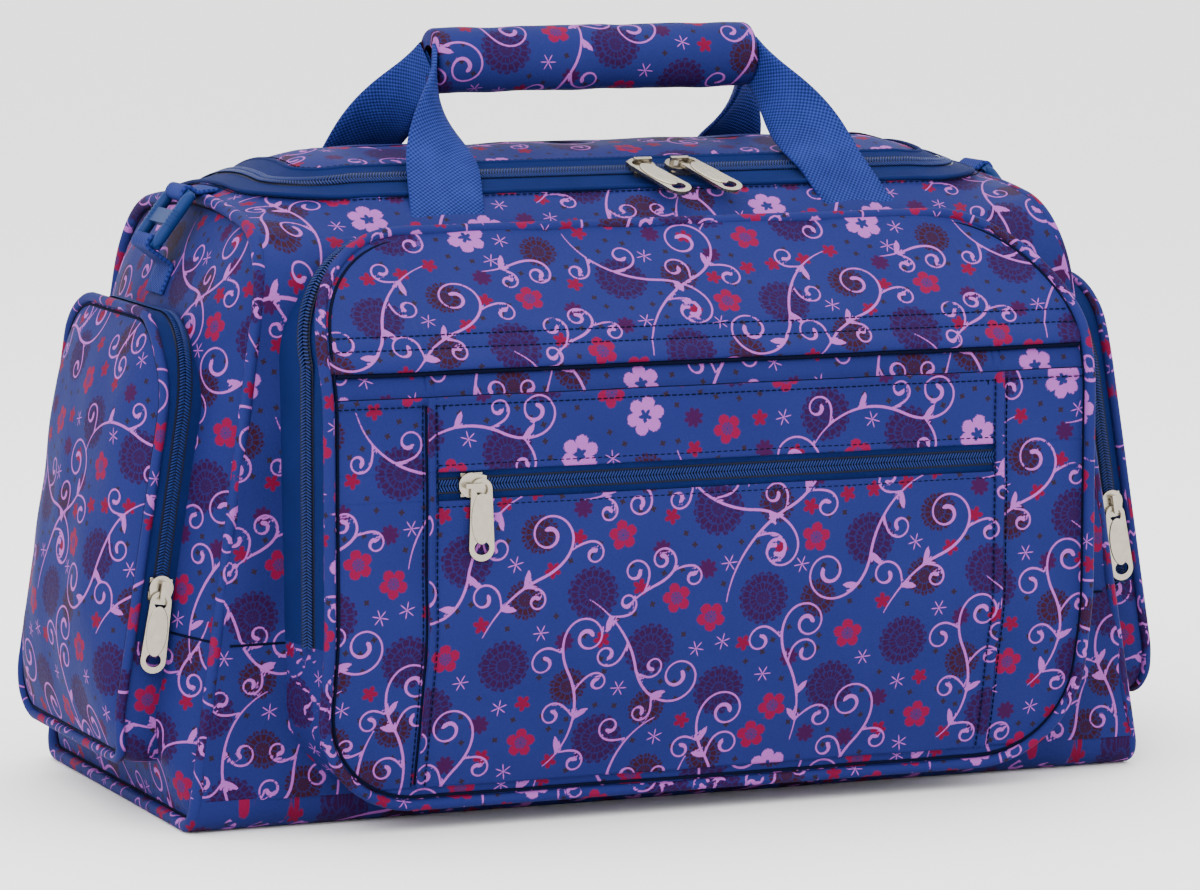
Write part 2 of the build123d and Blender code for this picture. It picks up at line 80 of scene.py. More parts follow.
floor_mesh = bpy.data.meshes.new("floor")
floor_mesh.from_pydata([(-9, -9, 0), (9, -9, 0), (9, 9, 0), (-9, 9, 0)], [], [(0, 1, 2, 3)])
floor = bpy.data.objects.new("floor", floor_mesh)
bpy.context.scene.collection.objects.link(floor)
floor_paint = bpy.data.materials.new("floor")
floor_paint.use_nodes = True
floor_paint.node_tree.nodes["Principled BSDF"].inputs["Base Color"].default_value = (0.93, 0.93, 0.93, 1)
floor_paint.node_tree.nodes["Principled BSDF"].inputs["Roughness"].default_value = 0.8
floor_mesh.materials.append(floor_paint)


# Printed cloth of the whole bag: coated polyester with a dense scroll of vines and small flowers.
# The print is drawn from its own layout of vines and blooms, repeated over a tile; each panel
# carries the distance to the nearest vine and the place in the nearest bloom at every point.
tile_size = np.array([212.0, 262.0])
bloom_kinds = [
    ("lilac flower", 4, 9.6),
    ("rosette", 14, 13.2),
    ("crimson flower", 16, 7.4),
    ("brown rosette", 11, 9.8),
    ("small plum flower", 14, 5.0),
    ("small red flower", 32, 4.2),
    ("star", 22, 4.2),
    ("speck", 150, 1.6),
]


def wrapped(away):
    """A distance over the repeated tile, taken to its nearest repeat."""
    return (away + tile_size / 2) % tile_size - tile_size / 2


def curl(start, heading, bends, widths):
    """A vine as points and half-widths: the heading turns by one over a radius that runs from a first
    to a last value over each bend, and the half-width runs along the given widths."""
    turns = [np.zeros(1)]
    for length, first, last in bends:
        radius = np.linspace(first, last, max(4, int(length / 1.3)))
        turns.append(length / len(radius) / radius)
    steps = np.concatenate([np.zeros(1)] + [np.full(len(t), b[0] / len(t)) for t, b in zip(turns[1:], bends)])
    angle = heading + np.cumsum(np.concatenate(turns))
    path = start + np.cumsum(np.stack([np.cos(angle), np.sin(angle)], 1) * steps[:, None], axis=0)
    share = np.cumsum(steps) / steps.sum()
    return path, np.interp(share, np.linspace(0, 1, len(widths)), widths), angle


def vine(dice, start, heading, size):
    """One branch of the scroll: an S-shaped stem that ends in a spiral, with side spirals and leaves on
    alternate sides; a small size gives a short sprig."""
    side = dice.choice([-1.0, 1.0])
    first = dice.uniform(30, 52)
    second = dice.uniform(10.5, 14) * (0.5 + 0.5 * size)
    bends = [
        (dice.uniform(40, 60) * size, side * first, side * first * 1.3),
        (dice.uniform(22, 34) * size, -side * 36, -side * second),
        (second * 4.5, -side * second, -side * second * 0.27),
    ]
    stem = curl(start, heading, bends, [0.3, 0.55, 0.74, 0.74, 0.62, 0.54, 0.52, 1.2])
    lines = [stem[:2]]
    turn = side
    for share in (0.1, 0.23, 0.36, 0.48) if size > 0.9 else (0.14, 0.4):
        place = int((share + dice.uniform(-0.03, 0.03)) * len(stem[0]))
        turn = -turn
        if dice.random() < 0.75 * size:
            way = stem[2][place] + turn * dice.uniform(0.5, 0.8)
            wide = dice.uniform(5.5, 8.5)
            shoot = [(dice.uniform(8, 15), turn * 40, turn * wide)]
            shoot.append((wide * 3.8, turn * wide, turn * wide * 0.36))
            lines.append(curl(stem[0][place], way, shoot, [0.4, 0.64, 0.56, 0.5, 0.5, 1.15])[:2])
        if dice.random() < 0.8:
            way = stem[2][place] - turn * dice.uniform(0.5, 0.8)
            leaf = [(dice.uniform(6.0, 8.5), -turn * 14, -turn * 40)]
            lines.append(curl(stem[0][place], way, leaf, [0.3, 0.9, 1.5, 1.65, 1.2, 0.2])[:2])
    return lines


def knots(lines):
    """How close the free ends of a branch's lines come to its other lines."""
    total = 0.0
    for number, (path, _) in enumerate(lines):
        free = path[int(len(path) * (0.35 if number else 0.6))::3]
        others = [line[::3] for other, (line, _) in enumerate(lines) if other != number]
        rest = np.concatenate([np.full((1, 2), 1e6)] + others)
        away = free[:, None] - rest[None]
        total += np.maximum(0, 4.2 - np.sqrt((away ** 2).sum(2).min(1))).mean()
    return total


def print_layout():
    """The tile's vines on a lattice, each the least crowded of many throws, with short sprigs in the gaps,
    and its blooms thrown apart from each other."""
    dice = np.random.default_rng(20)
    vines = []
    taken = np.full((1, 2), 1e6)
    sites = [((column + 0.5 * (row % 2)) / 3, row / 4, 1.0) for row in range(4) for column in range(3)]
    sites += [(dice.random(), dice.random(), 0.42) for _ in range(14)]
    for across, up, size in sites:
        best = None
        for _ in range(36):
            spread = dice.uniform(-16, 16, 2) if size > 0.9 else dice.uniform(-60, 60, 2)
            start = np.array([across, up]) * tile_size + spread
            trial = vine(dice, start, dice.uniform(0, 2 * math.pi), size)
            spots = np.concatenate([path for path, _ in trial])[::4]
            away = wrapped(spots[:, None] - taken[None])
            crowd = np.maximum(0, 9 - np.hypot(away[..., 0], away[..., 1]).min(1)).sum() / len(spots)
            crowd += 1.6 * knots(trial)
            if best is None or crowd < best[0]:
                best = (crowd, trial, spots)
        if size > 0.9 or best[0] < 1.6:
            vines += best[1]
            taken = np.concatenate([taken, best[2]])
    blooms = []
    stems = np.concatenate([path for path, _ in vines])
    for kind, (_, count, radius) in enumerate(bloom_kinds):
        for _ in range(count):
            spots = dice.uniform(0, 1, (70, 2)) * tile_size
            room = np.full(len(spots), 30.0)
            for x, y, _, other, _ in blooms:
                away = wrapped(spots - (x, y))
                room = np.minimum(room, np.hypot(*away.T) - other - radius)
            if kind in (0, 2, 6):
                away = wrapped(spots[:, None] - stems[None, ::3])
                room = np.minimum(room, np.hypot(away[..., 0], away[..., 1]).min(1) - radius + 2)
            best = int(np.argmax(room))
            if room[best] > 1.2:
                blooms.append((*spots[best], dice.uniform(0, 2 * math.pi), radius, kind + 1))
    return vines, blooms


print_vines, print_blooms = print_layout()


def print_fields(uv):
    """The print at each place of the cloth: the turned and scaled place in the nearest bloom with its kind,
    the distance to that bloom's rim, and the signed and plain distance to the nearest vine with its
    half-width."""
    count = len(uv)
    bloom = np.full((count, 3), (3.0, 3.0, 0.0))
    edge = np.full(count, 9.0)
    for x, y, turn, radius, kind in print_blooms:
        away = wrapped(uv - (x, y))
        gap = np.hypot(away[:, 0], away[:, 1]) - radius
        near = np.flatnonzero(gap < np.minimum(edge, 5.0))
        edge[near] = gap[near]
        c, s = math.cos(turn) / radius, math.sin(turn) / radius
        bloom[near, 0] = away[near, 0] * c + away[near, 1] * s
        bloom[near, 1] = away[near, 1] * c - away[near, 0] * s
        bloom[near, 2] = kind
    thread = np.full((count, 3), (9.0, 9.0, 0.5))
    for path, width in print_vines:
        middle = (path.min(0) + path.max(0)) / 2
        reach = np.ptp(path, axis=0) / 2 + 6
        place = wrapped(uv - middle)
        near = np.flatnonzero((np.abs(place) < reach).all(1))
        if not len(near):
            continue
        spot = place[near] + middle
        least = thread[near, 1] - thread[near, 2]
        for a, b, wide in zip(path[:-1], path[1:], (width[:-1] + width[1:]) / 2):
            run = b - a
            share = np.clip((spot - a) @ run / (run @ run), 0, 1)
            away = spot - a - share[:, None] * run
            far = np.hypot(away[:, 0], away[:, 1])
            side = np.sign(run[0] * away[:, 1] - run[1] * away[:, 0])
            better = far - wide < least
            least = np.where(better, far - wide, least)
            found = near[better]
            thread[found, 0] = (side * far)[better]
            thread[found, 1] = far[better]
            thread[found, 2] = wide
    return bloom, edge, thread


def shade(tree, operation, *values):
    """A math node on numbers or sockets; gives its result."""
    node = tree.nodes.new("ShaderNodeMath")
    node.operation = operation
    for socket, value in zip(node.inputs, values):
        if isinstance(value, (int, float)):
            socket.default_value = value
        else:
            tree.links.new(value, socket)
    return node.outputs[0]


def below(tree, value, limit, soft):
    """One where a value is under a limit, fading to nothing over a soft width."""
    gap = shade(tree, "SUBTRACT", limit, value)
    level = shade(tree, "MAXIMUM", shade(tree, "MULTIPLY_ADD", gap, 1 / soft, 0.5), 0.0)
    return shade(tree, "MINIMUM", level, 1.0)


def over(tree, colour, top, mask):
    """A colour laid over another where a mask is one."""
    mix = tree.nodes.new("ShaderNodeMix")
    mix.data_type = "RGBA"
    tree.links.new(mask, mix.inputs["Factor"])
    for socket, value in ((mix.inputs["A"], colour), (mix.inputs["B"], top)):
        if isinstance(value, tuple):
            socket.default_value = (*value, 1)
        else:
            tree.links.new(value, socket)
    return mix.outputs["Result"]


def attribute(tree, name):
    """One of the mesh's own attributes."""
    node = tree.nodes.new("ShaderNodeAttribute")
    node.attribute_name = name
    return node.outputs


def noise(tree, place, scale, detail):
    """Smooth noise from nought to one over a place."""
    node = tree.nodes.new("ShaderNodeTexNoise")
    node.inputs["Scale"].default_value = scale
    node.inputs["Detail"].default_value = detail
    tree.links.new(place, node.inputs["Vector"])
    return node.outputs["Fac"]


def bump(tree, bsdf, height, distance, strength):
    """A bump of a height field on a shader."""
    node = tree.nodes.new("ShaderNodeBump")
    node.inputs["Distance"].default_value = distance
    node.inputs["Strength"].default_value = strength
    tree.links.new(height, node.inputs["Height"])
    tree.links.new(node.outputs["Normal"], bsdf.inputs["Normal"])


def new_material(name, roughness, metallic, specular):
    """A material with its shader and its object coordinates."""
    material = bpy.data.materials.new(name)
    material.use_nodes = True
    tree = material.node_tree
    bsdf = tree.nodes["Principled BSDF"]
    bsdf.inputs["Roughness"].default_value = roughness
    bsdf.inputs["Metallic"].default_value = metallic
    bsdf.inputs["Specular IOR Level"].default_value = specular
    place = tree.nodes.new("ShaderNodeTexCoord").outputs["Object"]
    return material, tree, bsdf, place


def two_tone(name, roughness, specular, dark, light, scale, detail):
    """A plain material of two tones in a faint cloud."""
    material, tree, bsdf, place = new_material(name, roughness, 0.0, specular)
    tree.links.new(over(tree, dark, light, noise(tree, place, scale, detail)), bsdf.inputs["Base Color"])
    return material


def print_cloth():
    """The printed cloth: blooms drawn in polar form from their own places, vines where the distance to
    their middle is under their half-width, over a royal blue ground with a fine grain."""
    material, tree, bsdf, place = new_material("print_cloth", 0.62, 0.0, 0.035)
    split = tree.nodes.new("ShaderNodeSeparateXYZ")
    tree.links.new(attribute(tree, "bloom")["Vector"], split.inputs[0])
    x, y, kind = split.outputs
    wobble = shade(tree, "MULTIPLY_ADD", noise(tree, place, 900.0, 2.0), 0.24, -0.12)
    square = shade(tree, "ADD", shade(tree, "MULTIPLY", x, x), shade(tree, "MULTIPLY", y, y))
    radius = shade(tree, "ADD", shade(tree, "SQRT", square), wobble)
    angle = shade(tree, "ARCTAN2", y, x)
    inside = below(tree, attribute(tree, "edge")["Fac"], 0.3, 0.4)

    def petals(count, low, high, power):
        """An outline that swells between a low and a high radius once for each petal."""
        wave = shade(tree, "ABSOLUTE", shade(tree, "COSINE", shade(tree, "MULTIPLY", angle, count / 2)))
        return shade(tree, "MULTIPLY_ADD", shade(tree, "POWER", wave, power), high - low, low)

    def kind_mask(number, outline, soft):
        """Where a bloom of one kind lies inside its outline."""
        same = below(tree, shade(tree, "ABSOLUTE", shade(tree, "SUBTRACT", kind, float(number))), 0.5, 0.02)
        own = shade(tree, "MULTIPLY", same, inside)
        return shade(tree, "MULTIPLY", own, below(tree, radius, outline, soft))

    def ringed(rings, count):
        """Thin gaps between rings of petals: one on the petals, nought in the gaps."""
        level = shade(tree, "MULTIPLY", radius, float(rings))
        across = shade(tree, "ABSOLUTE", shade(tree, "SUBTRACT", shade(tree, "FRACT", level), 0.5))
        round_about = shade(tree, "MULTIPLY", angle, count / 2)
        lift = shade(tree, "MULTIPLY_ADD", shade(tree, "FLOOR", level), 1.57, round_about)
        along = shade(tree, "ABSOLUTE", shade(tree, "SINE", lift))
        return shade(tree, "MULTIPLY", below(tree, across, 0.4, 0.12), below(tree, 0.3, along, 0.3))

    broad = shade(tree, "MULTIPLY_ADD", noise(tree, place, 22.0, 3.0), 0.7, -0.2)
    cloud = shade(tree, "MULTIPLY_ADD", noise(tree, place, 1300.0, 2.0), 0.7, broad)
    ground = over(tree, (0.0074, 0.0104, 0.070), (0.0128, 0.0166, 0.099), cloud)
    lilac = over(tree, (0.205, 0.052, 0.245), (0.275, 0.075, 0.315), cloud)
    dark = over(tree, (0.0130, 0.0020, 0.024), (0.0185, 0.0030, 0.034), cloud)
    colour = over(tree, ground, (0.0150, 0.0085, 0.017), kind_mask(8, petals(4, 0.45, 1.0, 1.0), 0.2))
    flower = kind_mask(2, petals(18, 0.84, 1.0, 0.6), 0.06)
    colour = over(tree, colour, (0.0115, 0.0060, 0.050), shade(tree, "MULTIPLY", flower, 0.6))
    colour = over(tree, colour, dark, shade(tree, "MULTIPLY", flower, ringed(3.4, 18)))
    flower = kind_mask(4, petals(13, 0.76, 1.0, 0.6), 0.07)
    colour = over(tree, colour, (0.0125, 0.0062, 0.036), shade(tree, "MULTIPLY", flower, 0.5))
    colour = over(tree, colour, (0.0215, 0.0040, 0.0115), shade(tree, "MULTIPLY", flower, ringed(2.6, 13)))
    colour = over(tree, colour, (0.026, 0.0026, 0.033), kind_mask(5, petals(8, 0.6, 1.0, 0.8), 0.15))
    crimson = kind_mask(3, petals(5, 0.52, 1.0, 0.55), 0.1)
    heart = shade(tree, "MULTIPLY_ADD", ringed(2.2, 10), 0.6, 0.4)
    heart = below(tree, below(tree, radius, 0.42, 0.08), heart, 0.5)
    crimson = shade(tree, "MULTIPLY", crimson, heart)
    colour = over(tree, colour, (0.135, 0.0020, 0.025), shade(tree, "MULTIPLY", crimson, 0.95))
    colour = over(tree, colour, (0.105, 0.0020, 0.021), kind_mask(6, petals(5, 0.42, 1.0, 0.9), 0.2))
    colour = over(tree, colour, lilac, kind_mask(7, petals(6, 0.1, 1.0, 9.0), 0.16))
    colour = over(tree, colour, lilac, kind_mask(1, petals(6, 0.6, 1.0, 0.5), 0.07))
    colour = over(tree, colour, ground, kind_mask(1, petals(5, 0.2, 0.36, 1.5), 0.06))
    thread = tree.nodes.new("ShaderNodeSeparateXYZ")
    tree.links.new(attribute(tree, "thread")["Vector"], thread.inputs[0])
    across = shade(tree, "ABSOLUTE", thread.outputs[0])
    across = shade(tree, "MULTIPLY_ADD", noise(tree, place, 700.0, 1.0), 0.24, across)
    line = below(tree, across, shade(tree, "ADD", thread.outputs[2], 0.06), 0.3)
    close = below(tree, thread.outputs[1], shade(tree, "ADD", thread.outputs[2], 0.4), 0.2)
    colour = over(tree, colour, lilac, shade(tree, "MULTIPLY", line, close))
    tree.links.new(colour, bsdf.inputs["Base Color"])
    coarse = shade(tree, "MULTIPLY", noise(tree, place, 260.0, 3.0), 0.8)
    grain = shade(tree, "ADD", noise(tree, place, 1500.0, 2.0), coarse)
    bump(tree, bsdf, grain, 0.0006, 0.4)
    return material


def plain_cloth(name, dark, light, pitch, contrast):
    """A plain woven cloth: two tones and fine ribs across the piece's own length, of a given contrast."""
    material, tree, bsdf, place = new_material(name, 0.7, 0.0, 0.04)
    split = tree.nodes.new("ShaderNodeSeparateXYZ")
    tree.links.new(attribute(tree, "cloth")["Vector"], split.inputs[0])
    rib = shade(tree, "SINE", shade(tree, "MULTIPLY", split.outputs[0], 2 * math.pi / pitch))
    cross = shade(tree, "SINE", shade(tree, "MULTIPLY", split.outputs[1], 2 * math.pi / pitch))
    weave = shade(tree, "MULTIPLY", rib, cross)
    tone = shade(tree, "MULTIPLY_ADD", weave, contrast, noise(tree, place, 60.0, 3.0))
    tree.links.new(over(tree, dark, light, tone), bsdf.inputs["Base Color"])
    bump(tree, bsdf, shade(tree, "ADD", weave, noise(tree, place, 900.0, 2.0)), 0.0004, 0.5)
    return material


def unit(vectors):
    """Vectors scaled to a length of one."""
    return vectors / np.linalg.norm(vectors, axis=-1, keepdims=True)


def distance(path):
    """How far along a path each of its points lies."""
    return np.concatenate([[0], np.cumsum(np.linalg.norm(np.diff(path, axis=0), axis=1))])


def lay(*parts):
    """Places from their coordinates, which are spread to one shape."""
    return np.stack(np.broadcast_arrays(*parts), -1)


def grid(name, points, uv, material, close=False):
    """A mesh of four-sided faces over a whole array of points in millimetres, with the cloth's own flat
    coordinates and, on printed cloth, the print's fields at every point."""
    rows, columns = points.shape[:2]
    index = np.arange(rows * columns).reshape(rows, columns)
    if close:
        index = np.concatenate([index, index[:, :1]], axis=1)
    faces = np.stack([index[:-1, :-1], index[:-1, 1:], index[1:, 1:], index[1:, :-1]], -1).reshape(-1, 4)
    return mesh_piece(name, points.reshape(-1, 3), faces, uv.reshape(-1, 2), material)


def mesh_piece(name, points, faces, uv, material):
    """An object from points in millimetres and faces, smooth shaded, with its flat coordinates."""
    mesh = bpy.data.meshes.new(name)
    mesh.from_pydata((points * 0.001).tolist(), [], faces.tolist())
    fields = {"cloth": np.column_stack([uv, np.zeros(len(uv))])}
    if material == print_material:
        fields["bloom"], edge, fields["thread"] = print_fields(uv)
        mesh.attributes.new("edge", "FLOAT", "POINT").data.foreach_set("value", edge.astype(np.float32))
    for field, values in fields.items():
        stored = mesh.attributes.new(field, "FLOAT_VECTOR", "POINT")
        stored.data.foreach_set("vector", values.astype(np.float32).ravel())
    mesh.shade_smooth()
    mesh.materials.append(material)
    piece = bpy.data.objects.new(name, mesh)
    bpy.context.scene.collection.objects.link(piece)
    return piece


def sew(piece, slot, *solids):
    """Sew a piece to the bag: its body and the solids that it stands for; the slot is not used."""
    if solids:
        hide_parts(*solids)
    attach(piece, "bag")
    return piece


def sheet(name, slot, points, uv, close=False):
    """A sheet of one of the cloths, sewn to the bag in place of the solid of its own name."""
    return sew(grid(name, points, uv, cloths[slot], close), slot, name)


print_material = print_cloth()
tape_material = plain_cloth("zip_tape", (0.0030, 0.0078, 0.050), (0.0050, 0.0120, 0.075), 0.9, 0.3)
cloths = {"print_cloth": print_material, "zip_tape": tape_material}


# Main compartment: front wall, lid and back wall of printed cloth, sewn round a flat bottom.
# Each wall is a slice of the bag carried along it, straight in the middle and drawn down to the
# leaning end planes, with a slight belly and shallow ripples.
base_half = 120.0
top_half = 112.0
corner_radius = 45.0
straight = 150.0
straight_share = 0.62
end_foot = 250.0
end_slope = 0.15
end_margin = 4.5
middle_side = 272.0
middle_crown = 321.0
end_side = 285.0
end_crown = 300.0
bottom_seam = 16.0
zip_depth = 60.0
draw_power = 1.25
belly_height = 250.0
belly_swell = 5.0


def half_slice(side, crown, seam, counts):
    """Half of a slice from the bottom seam up: a leaning line, a round corner and an arch to the middle, as
    depth and height."""
    rise = crown - side
    arch = (top_half ** 2 + rise ** 2) / (2 * rise)
    middle = np.array([0.0, crown - arch])
    foot = np.array([base_half, 0.0])
    way = unit(np.array([top_half - base_half, side]))
    inward = np.array([-way[1], way[0]])
    lead = foot + inward * corner_radius - middle
    along = -lead @ way + math.sqrt((lead @ way) ** 2 - lead @ lead + (arch - corner_radius) ** 2)
    centre = foot + way * along + inward * corner_radius
    start = np.array([base_half + way[0] / way[1] * seam, seam])
    last = centre - inward * corner_radius
    line = start + np.linspace(0, 1, counts[0])[:, None] * (last - start)
    out = centre - middle
    low = math.atan2(-inward[1], -inward[0])
    high = math.atan2(out[1], out[0])
    turn = np.linspace(low, high, counts[1])[1:]
    bend = centre + corner_radius * np.stack([np.cos(turn), np.sin(turn)], 1)
    turn = np.linspace(high, math.pi / 2, counts[2])[1:]
    top = middle + arch * np.stack([np.cos(turn), np.sin(turn)], 1)
    return np.concatenate([line, bend, top])


def ripple(u, v, size, height):
    """Shallow creases: a sum of slanting waves of about one size."""
    total = 0.0
    for turn, share, shift in ((0.3, 1.0, 0.0), (1.35, 0.7, 1.7), (2.2, 0.85, 3.1), (2.9, 0.6, 0.6)):
        wave = (u * math.cos(turn) + v * math.sin(turn)) / (size * share)
        total = total + share * np.sin(2 * math.pi * wave + shift + 1.3 * np.sin(0.6 * wave + shift))
    return height * total / 2


slice_counts = (150, 34, 62)
middle_slice = half_slice(middle_side, middle_crown, bottom_seam, slice_counts)
end_slice = half_slice(end_side, end_crown, bottom_seam, slice_counts)
slice_run = distance(middle_slice)


def body_points(share, rows, facing):
    """Points of a wall: the middle slice along the straight part, then blended to the end slice on its
    leaning plane; facing is -1 for the front and 1 for the back."""
    ramp = np.clip((np.abs(share) - straight_share) / (1 - straight_share), 0, 1)[None, :]
    fall = ramp ** draw_power
    mid = middle_slice[rows][:, None, :]
    end = end_slice[rows][:, None, :]
    end_x = end_foot - end_slope * end[..., 1] + end_margin
    level_x = straight * np.abs(share)[None, :] / straight_share
    x = np.where(ramp > 0, straight + ramp * (end_x - straight), level_x)
    flat = mid + fall[..., None] * (end - mid)
    height = flat[..., 1]
    belly = belly_swell * np.sin(np.clip(height / belly_height, 0, 1) * math.pi)
    belly = belly * (1 - np.abs(share)[None, :] ** 3)
    depth = flat[..., 0] + belly
    return np.stack([x * np.sign(share)[None, :], facing * depth, height], -1)


def wall(name, rows, facing, columns, offset):
    """A wall of printed cloth over some rows of the slice, with creases that calm down beside the zip."""
    share = np.linspace(-1, 1, columns)
    points = body_points(share, rows, facing)
    u = points[..., 0] * -facing
    v = slice_run[rows][:, None]
    calm = np.clip(np.abs(np.abs(points[..., 1]) - zip_depth) / 18, 0, 1)
    points[..., 2] += ripple(u, v, 70, 0.7) * calm * (points[..., 2] > end_side)
    points[..., 1] += ripple(u, v, 60, 0.8) * (points[..., 2] < end_side)
    sheet(name, "print_cloth", points, lay(u, v) + offset)


top_rows = np.flatnonzero(middle_slice[:, 0] < zip_depth + 1)
side_rows = np.arange(top_rows[0] + 1)
wall("front_wall", side_rows, -1, 320, (40.0, 20.0))
wall("back_panel", np.arange(len(middle_slice)), 1, 200, (150.0, 120.0))
wall("lid_panel", top_rows, -1, 300, (90.0, 150.0))
floor_radius = 14.0
floor_half = 105.5
floor_edge = 119.5
floor_lip = 16.5
floor_lift = 0.2
floor_share = np.linspace(-1, 1, 120)
floor_turn = np.linspace(0, math.pi / 2, 9)
floor_side = floor_half + floor_radius * np.cos(floor_turn)
floor_curve = floor_radius - floor_radius * np.sin(floor_turn)
floor_flat = np.linspace(105, -105, 60)
floor_depth = np.concatenate([[floor_edge], floor_side, floor_flat, -floor_side[::-1], [-floor_edge]])
floor_rise = np.concatenate([[floor_lip], floor_curve, np.zeros(60), floor_curve[::-1], [floor_lip]])
floor_rise = floor_rise + floor_lift
floor_x = floor_share[:, None] * (end_foot + 3.5 - end_slope * floor_rise)[None, :]
floor_points = lay(floor_x, floor_depth, floor_rise)
sheet("bottom_panel", "print_cloth", floor_points, floor_points[..., :2] + 30)


# Piped domed ends: one printed panel each end, puffed out from its corded piping.
# The panel is drawn from its middle out to the end outline; the piping is a round cord along it.
lean = math.atan(end_slope)
rim_inset = 4.5
dome_root = 2.0
dome_rise = 25.0
dome_power = 3.2
welt_inset = 2.8
welt_lift = 4.4
welt_low = 3.4
welt_radius = 3.2


def even_path(path, step, closed):
    """A path resampled at even steps along its length."""
    if closed:
        path = np.concatenate([path, path[:1]])
    run = distance(path)
    even = np.linspace(0, run[-1], int(round(run[-1] / step)) + 1)
    path = np.stack([np.interp(even, run, path[:, k]) for k in range(path.shape[1])], 1)
    return path[:-1] if closed else path


def rounded(corners, radii, step, closed=True):
    """A path through corner points with every corner turned on its radius, at even steps."""
    corners = np.asarray(corners, float)
    parts = []
    for number, here in enumerate(corners):
        if not closed and number in (0, len(corners) - 1):
            parts.append(here[None])
            continue
        back = unit(corners[number - 1] - here)
        ahead = unit(corners[(number + 1) % len(corners)] - here)
        half = math.acos(float(np.clip(back @ ahead, -1, 1))) / 2
        turn = math.pi - 2 * half
        centre = here + unit(back + ahead) * radii[number] / math.sin(half)
        first = here + back * radii[number] / math.tan(half) - centre
        last = here + ahead * radii[number] / math.tan(half) - centre
        share = np.linspace(0, 1, 16)[:, None]
        bend = first * np.sin((1 - share) * turn) + last * np.sin(share * turn)
        parts.append(centre + bend / math.sin(turn))
    return even_path(np.concatenate(parts), step, closed)


def outward(path):
    """The side of a closed path that faces away from its middle, as unit vectors."""
    run = np.roll(path, -1, 0) - np.roll(path, 1, 0)
    side = unit(np.stack([run[:, 1], -run[:, 0]], 1))
    return side * np.sign(np.sum(side * (path - path.mean(0)), axis=1).mean())


def right_of(path):
    """The side to the right of an open flat path, as unit vectors."""
    run = np.gradient(path, axis=0)
    return unit(np.stack([run[:, 1], -run[:, 0]], 1))


def cord(name, path, radius, up, material, closed=False, offset=(0.0, 0.0)):
    """A round cord along a path: circles square to it, with the cloth's flat coordinates moved by an offset."""
    if closed:
        ahead = np.roll(path, -1, 0) - np.roll(path, 1, 0)
        path = np.concatenate([path, path[:1]])
        ahead = np.concatenate([ahead, ahead[:1]])
    else:
        ahead = np.gradient(path, axis=0)
    side = unit(np.cross(ahead, up))
    top = unit(np.cross(side, ahead))
    angle = np.linspace(0, 2 * math.pi, 13)[:-1]
    ring = np.cos(angle)[None, :, None] * side[:, None] + np.sin(angle)[None, :, None] * top[:, None]
    radius = np.broadcast_to(radius, len(path))[:, None]
    flat = lay(distance(path)[:, None], radius * angle[None, :]) + offset
    return grid(name, path[:, None] + radius[..., None] * ring, flat, material, close=True)


def piping(name, path, radius, up, offset):
    """A corded piping of printed cloth round a panel, in place of the solid of its own name."""
    sew(cord(name, path, radius, up, print_material, True, offset), "print_cloth", name)


def end_place(flat, out, side):
    """A place on an end: depth and height in its leaning plane, and a distance out of the plane."""
    x = end_foot - flat[..., 1] * math.sin(lean) + out * math.cos(lean)
    return np.stack([side * x, flat[..., 0], flat[..., 1] * math.cos(lean) + out * math.sin(lean)], -1)


def end_outline():
    """The closed outline of an end in its plane."""
    lift = 1 / math.cos(lean)
    side = half_slice(end_side * lift, end_crown * lift, bottom_seam, (80, 24, 50))
    turn = np.linspace(-math.pi / 2, 0, 8)
    low = np.stack([105.6 + floor_radius * np.cos(turn), floor_radius + floor_radius * np.sin(turn)], 1)
    half = np.concatenate([[(0.0, 0.0)], low, side])
    return even_path(np.concatenate([half, (half * (-1, 1))[::-1][1:-1]]), 1.7, True)


outline = end_outline()
end_middle = np.array([0.0, 150.0])
end_rim = outline - outward(outline) * rim_inset
rim_angle = np.arctan2(end_rim[:, 1] - end_middle[1], end_rim[:, 0])
rim_reach = np.hypot(end_rim[:, 0], end_rim[:, 1] - end_middle[1])
rim_order = np.argsort(rim_angle)


def dome_height(flat):
    """How far the end panel stands out of its plane: quick at the rim, then flat across the middle."""
    angle = np.arctan2(flat[..., 1] - end_middle[1], flat[..., 0])
    reach = np.interp(angle, rim_angle[rim_order], rim_reach[rim_order], period=2 * math.pi)
    share = np.clip(np.hypot(flat[..., 0], flat[..., 1] - end_middle[1]) / reach, 0, 1)
    return dome_root + dome_rise * (1 - share ** dome_power)


for side, end_name, shift in ((-1, "left", (35.0, 180.0)), (1, "right", (150.0, 60.0))):
    share = np.linspace(1, 0.0, 104) ** 0.9
    flat = end_middle + share[:, None, None] * (end_rim - end_middle)
    crease = ripple(flat[..., 0], flat[..., 1], 55, 0.9) * (1 - share[:, None] ** 4)
    panel = end_place(flat, dome_height(flat) + crease, side)
    sheet(end_name + "_end_panel", "print_cloth", panel, flat * (side, 1) + shift, close=True)
    welt = end_place(outline - outward(outline) * welt_inset, np.full(len(outline), welt_lift), side)
    welt[:, 2] = np.maximum(welt[:, 2], welt_low)
    out_of_end = np.array([side * math.cos(lean), 0, math.sin(lean)])
    piping(end_name + "_end_piping", welt, welt_radius, out_of_end, (20.0, 60.0))
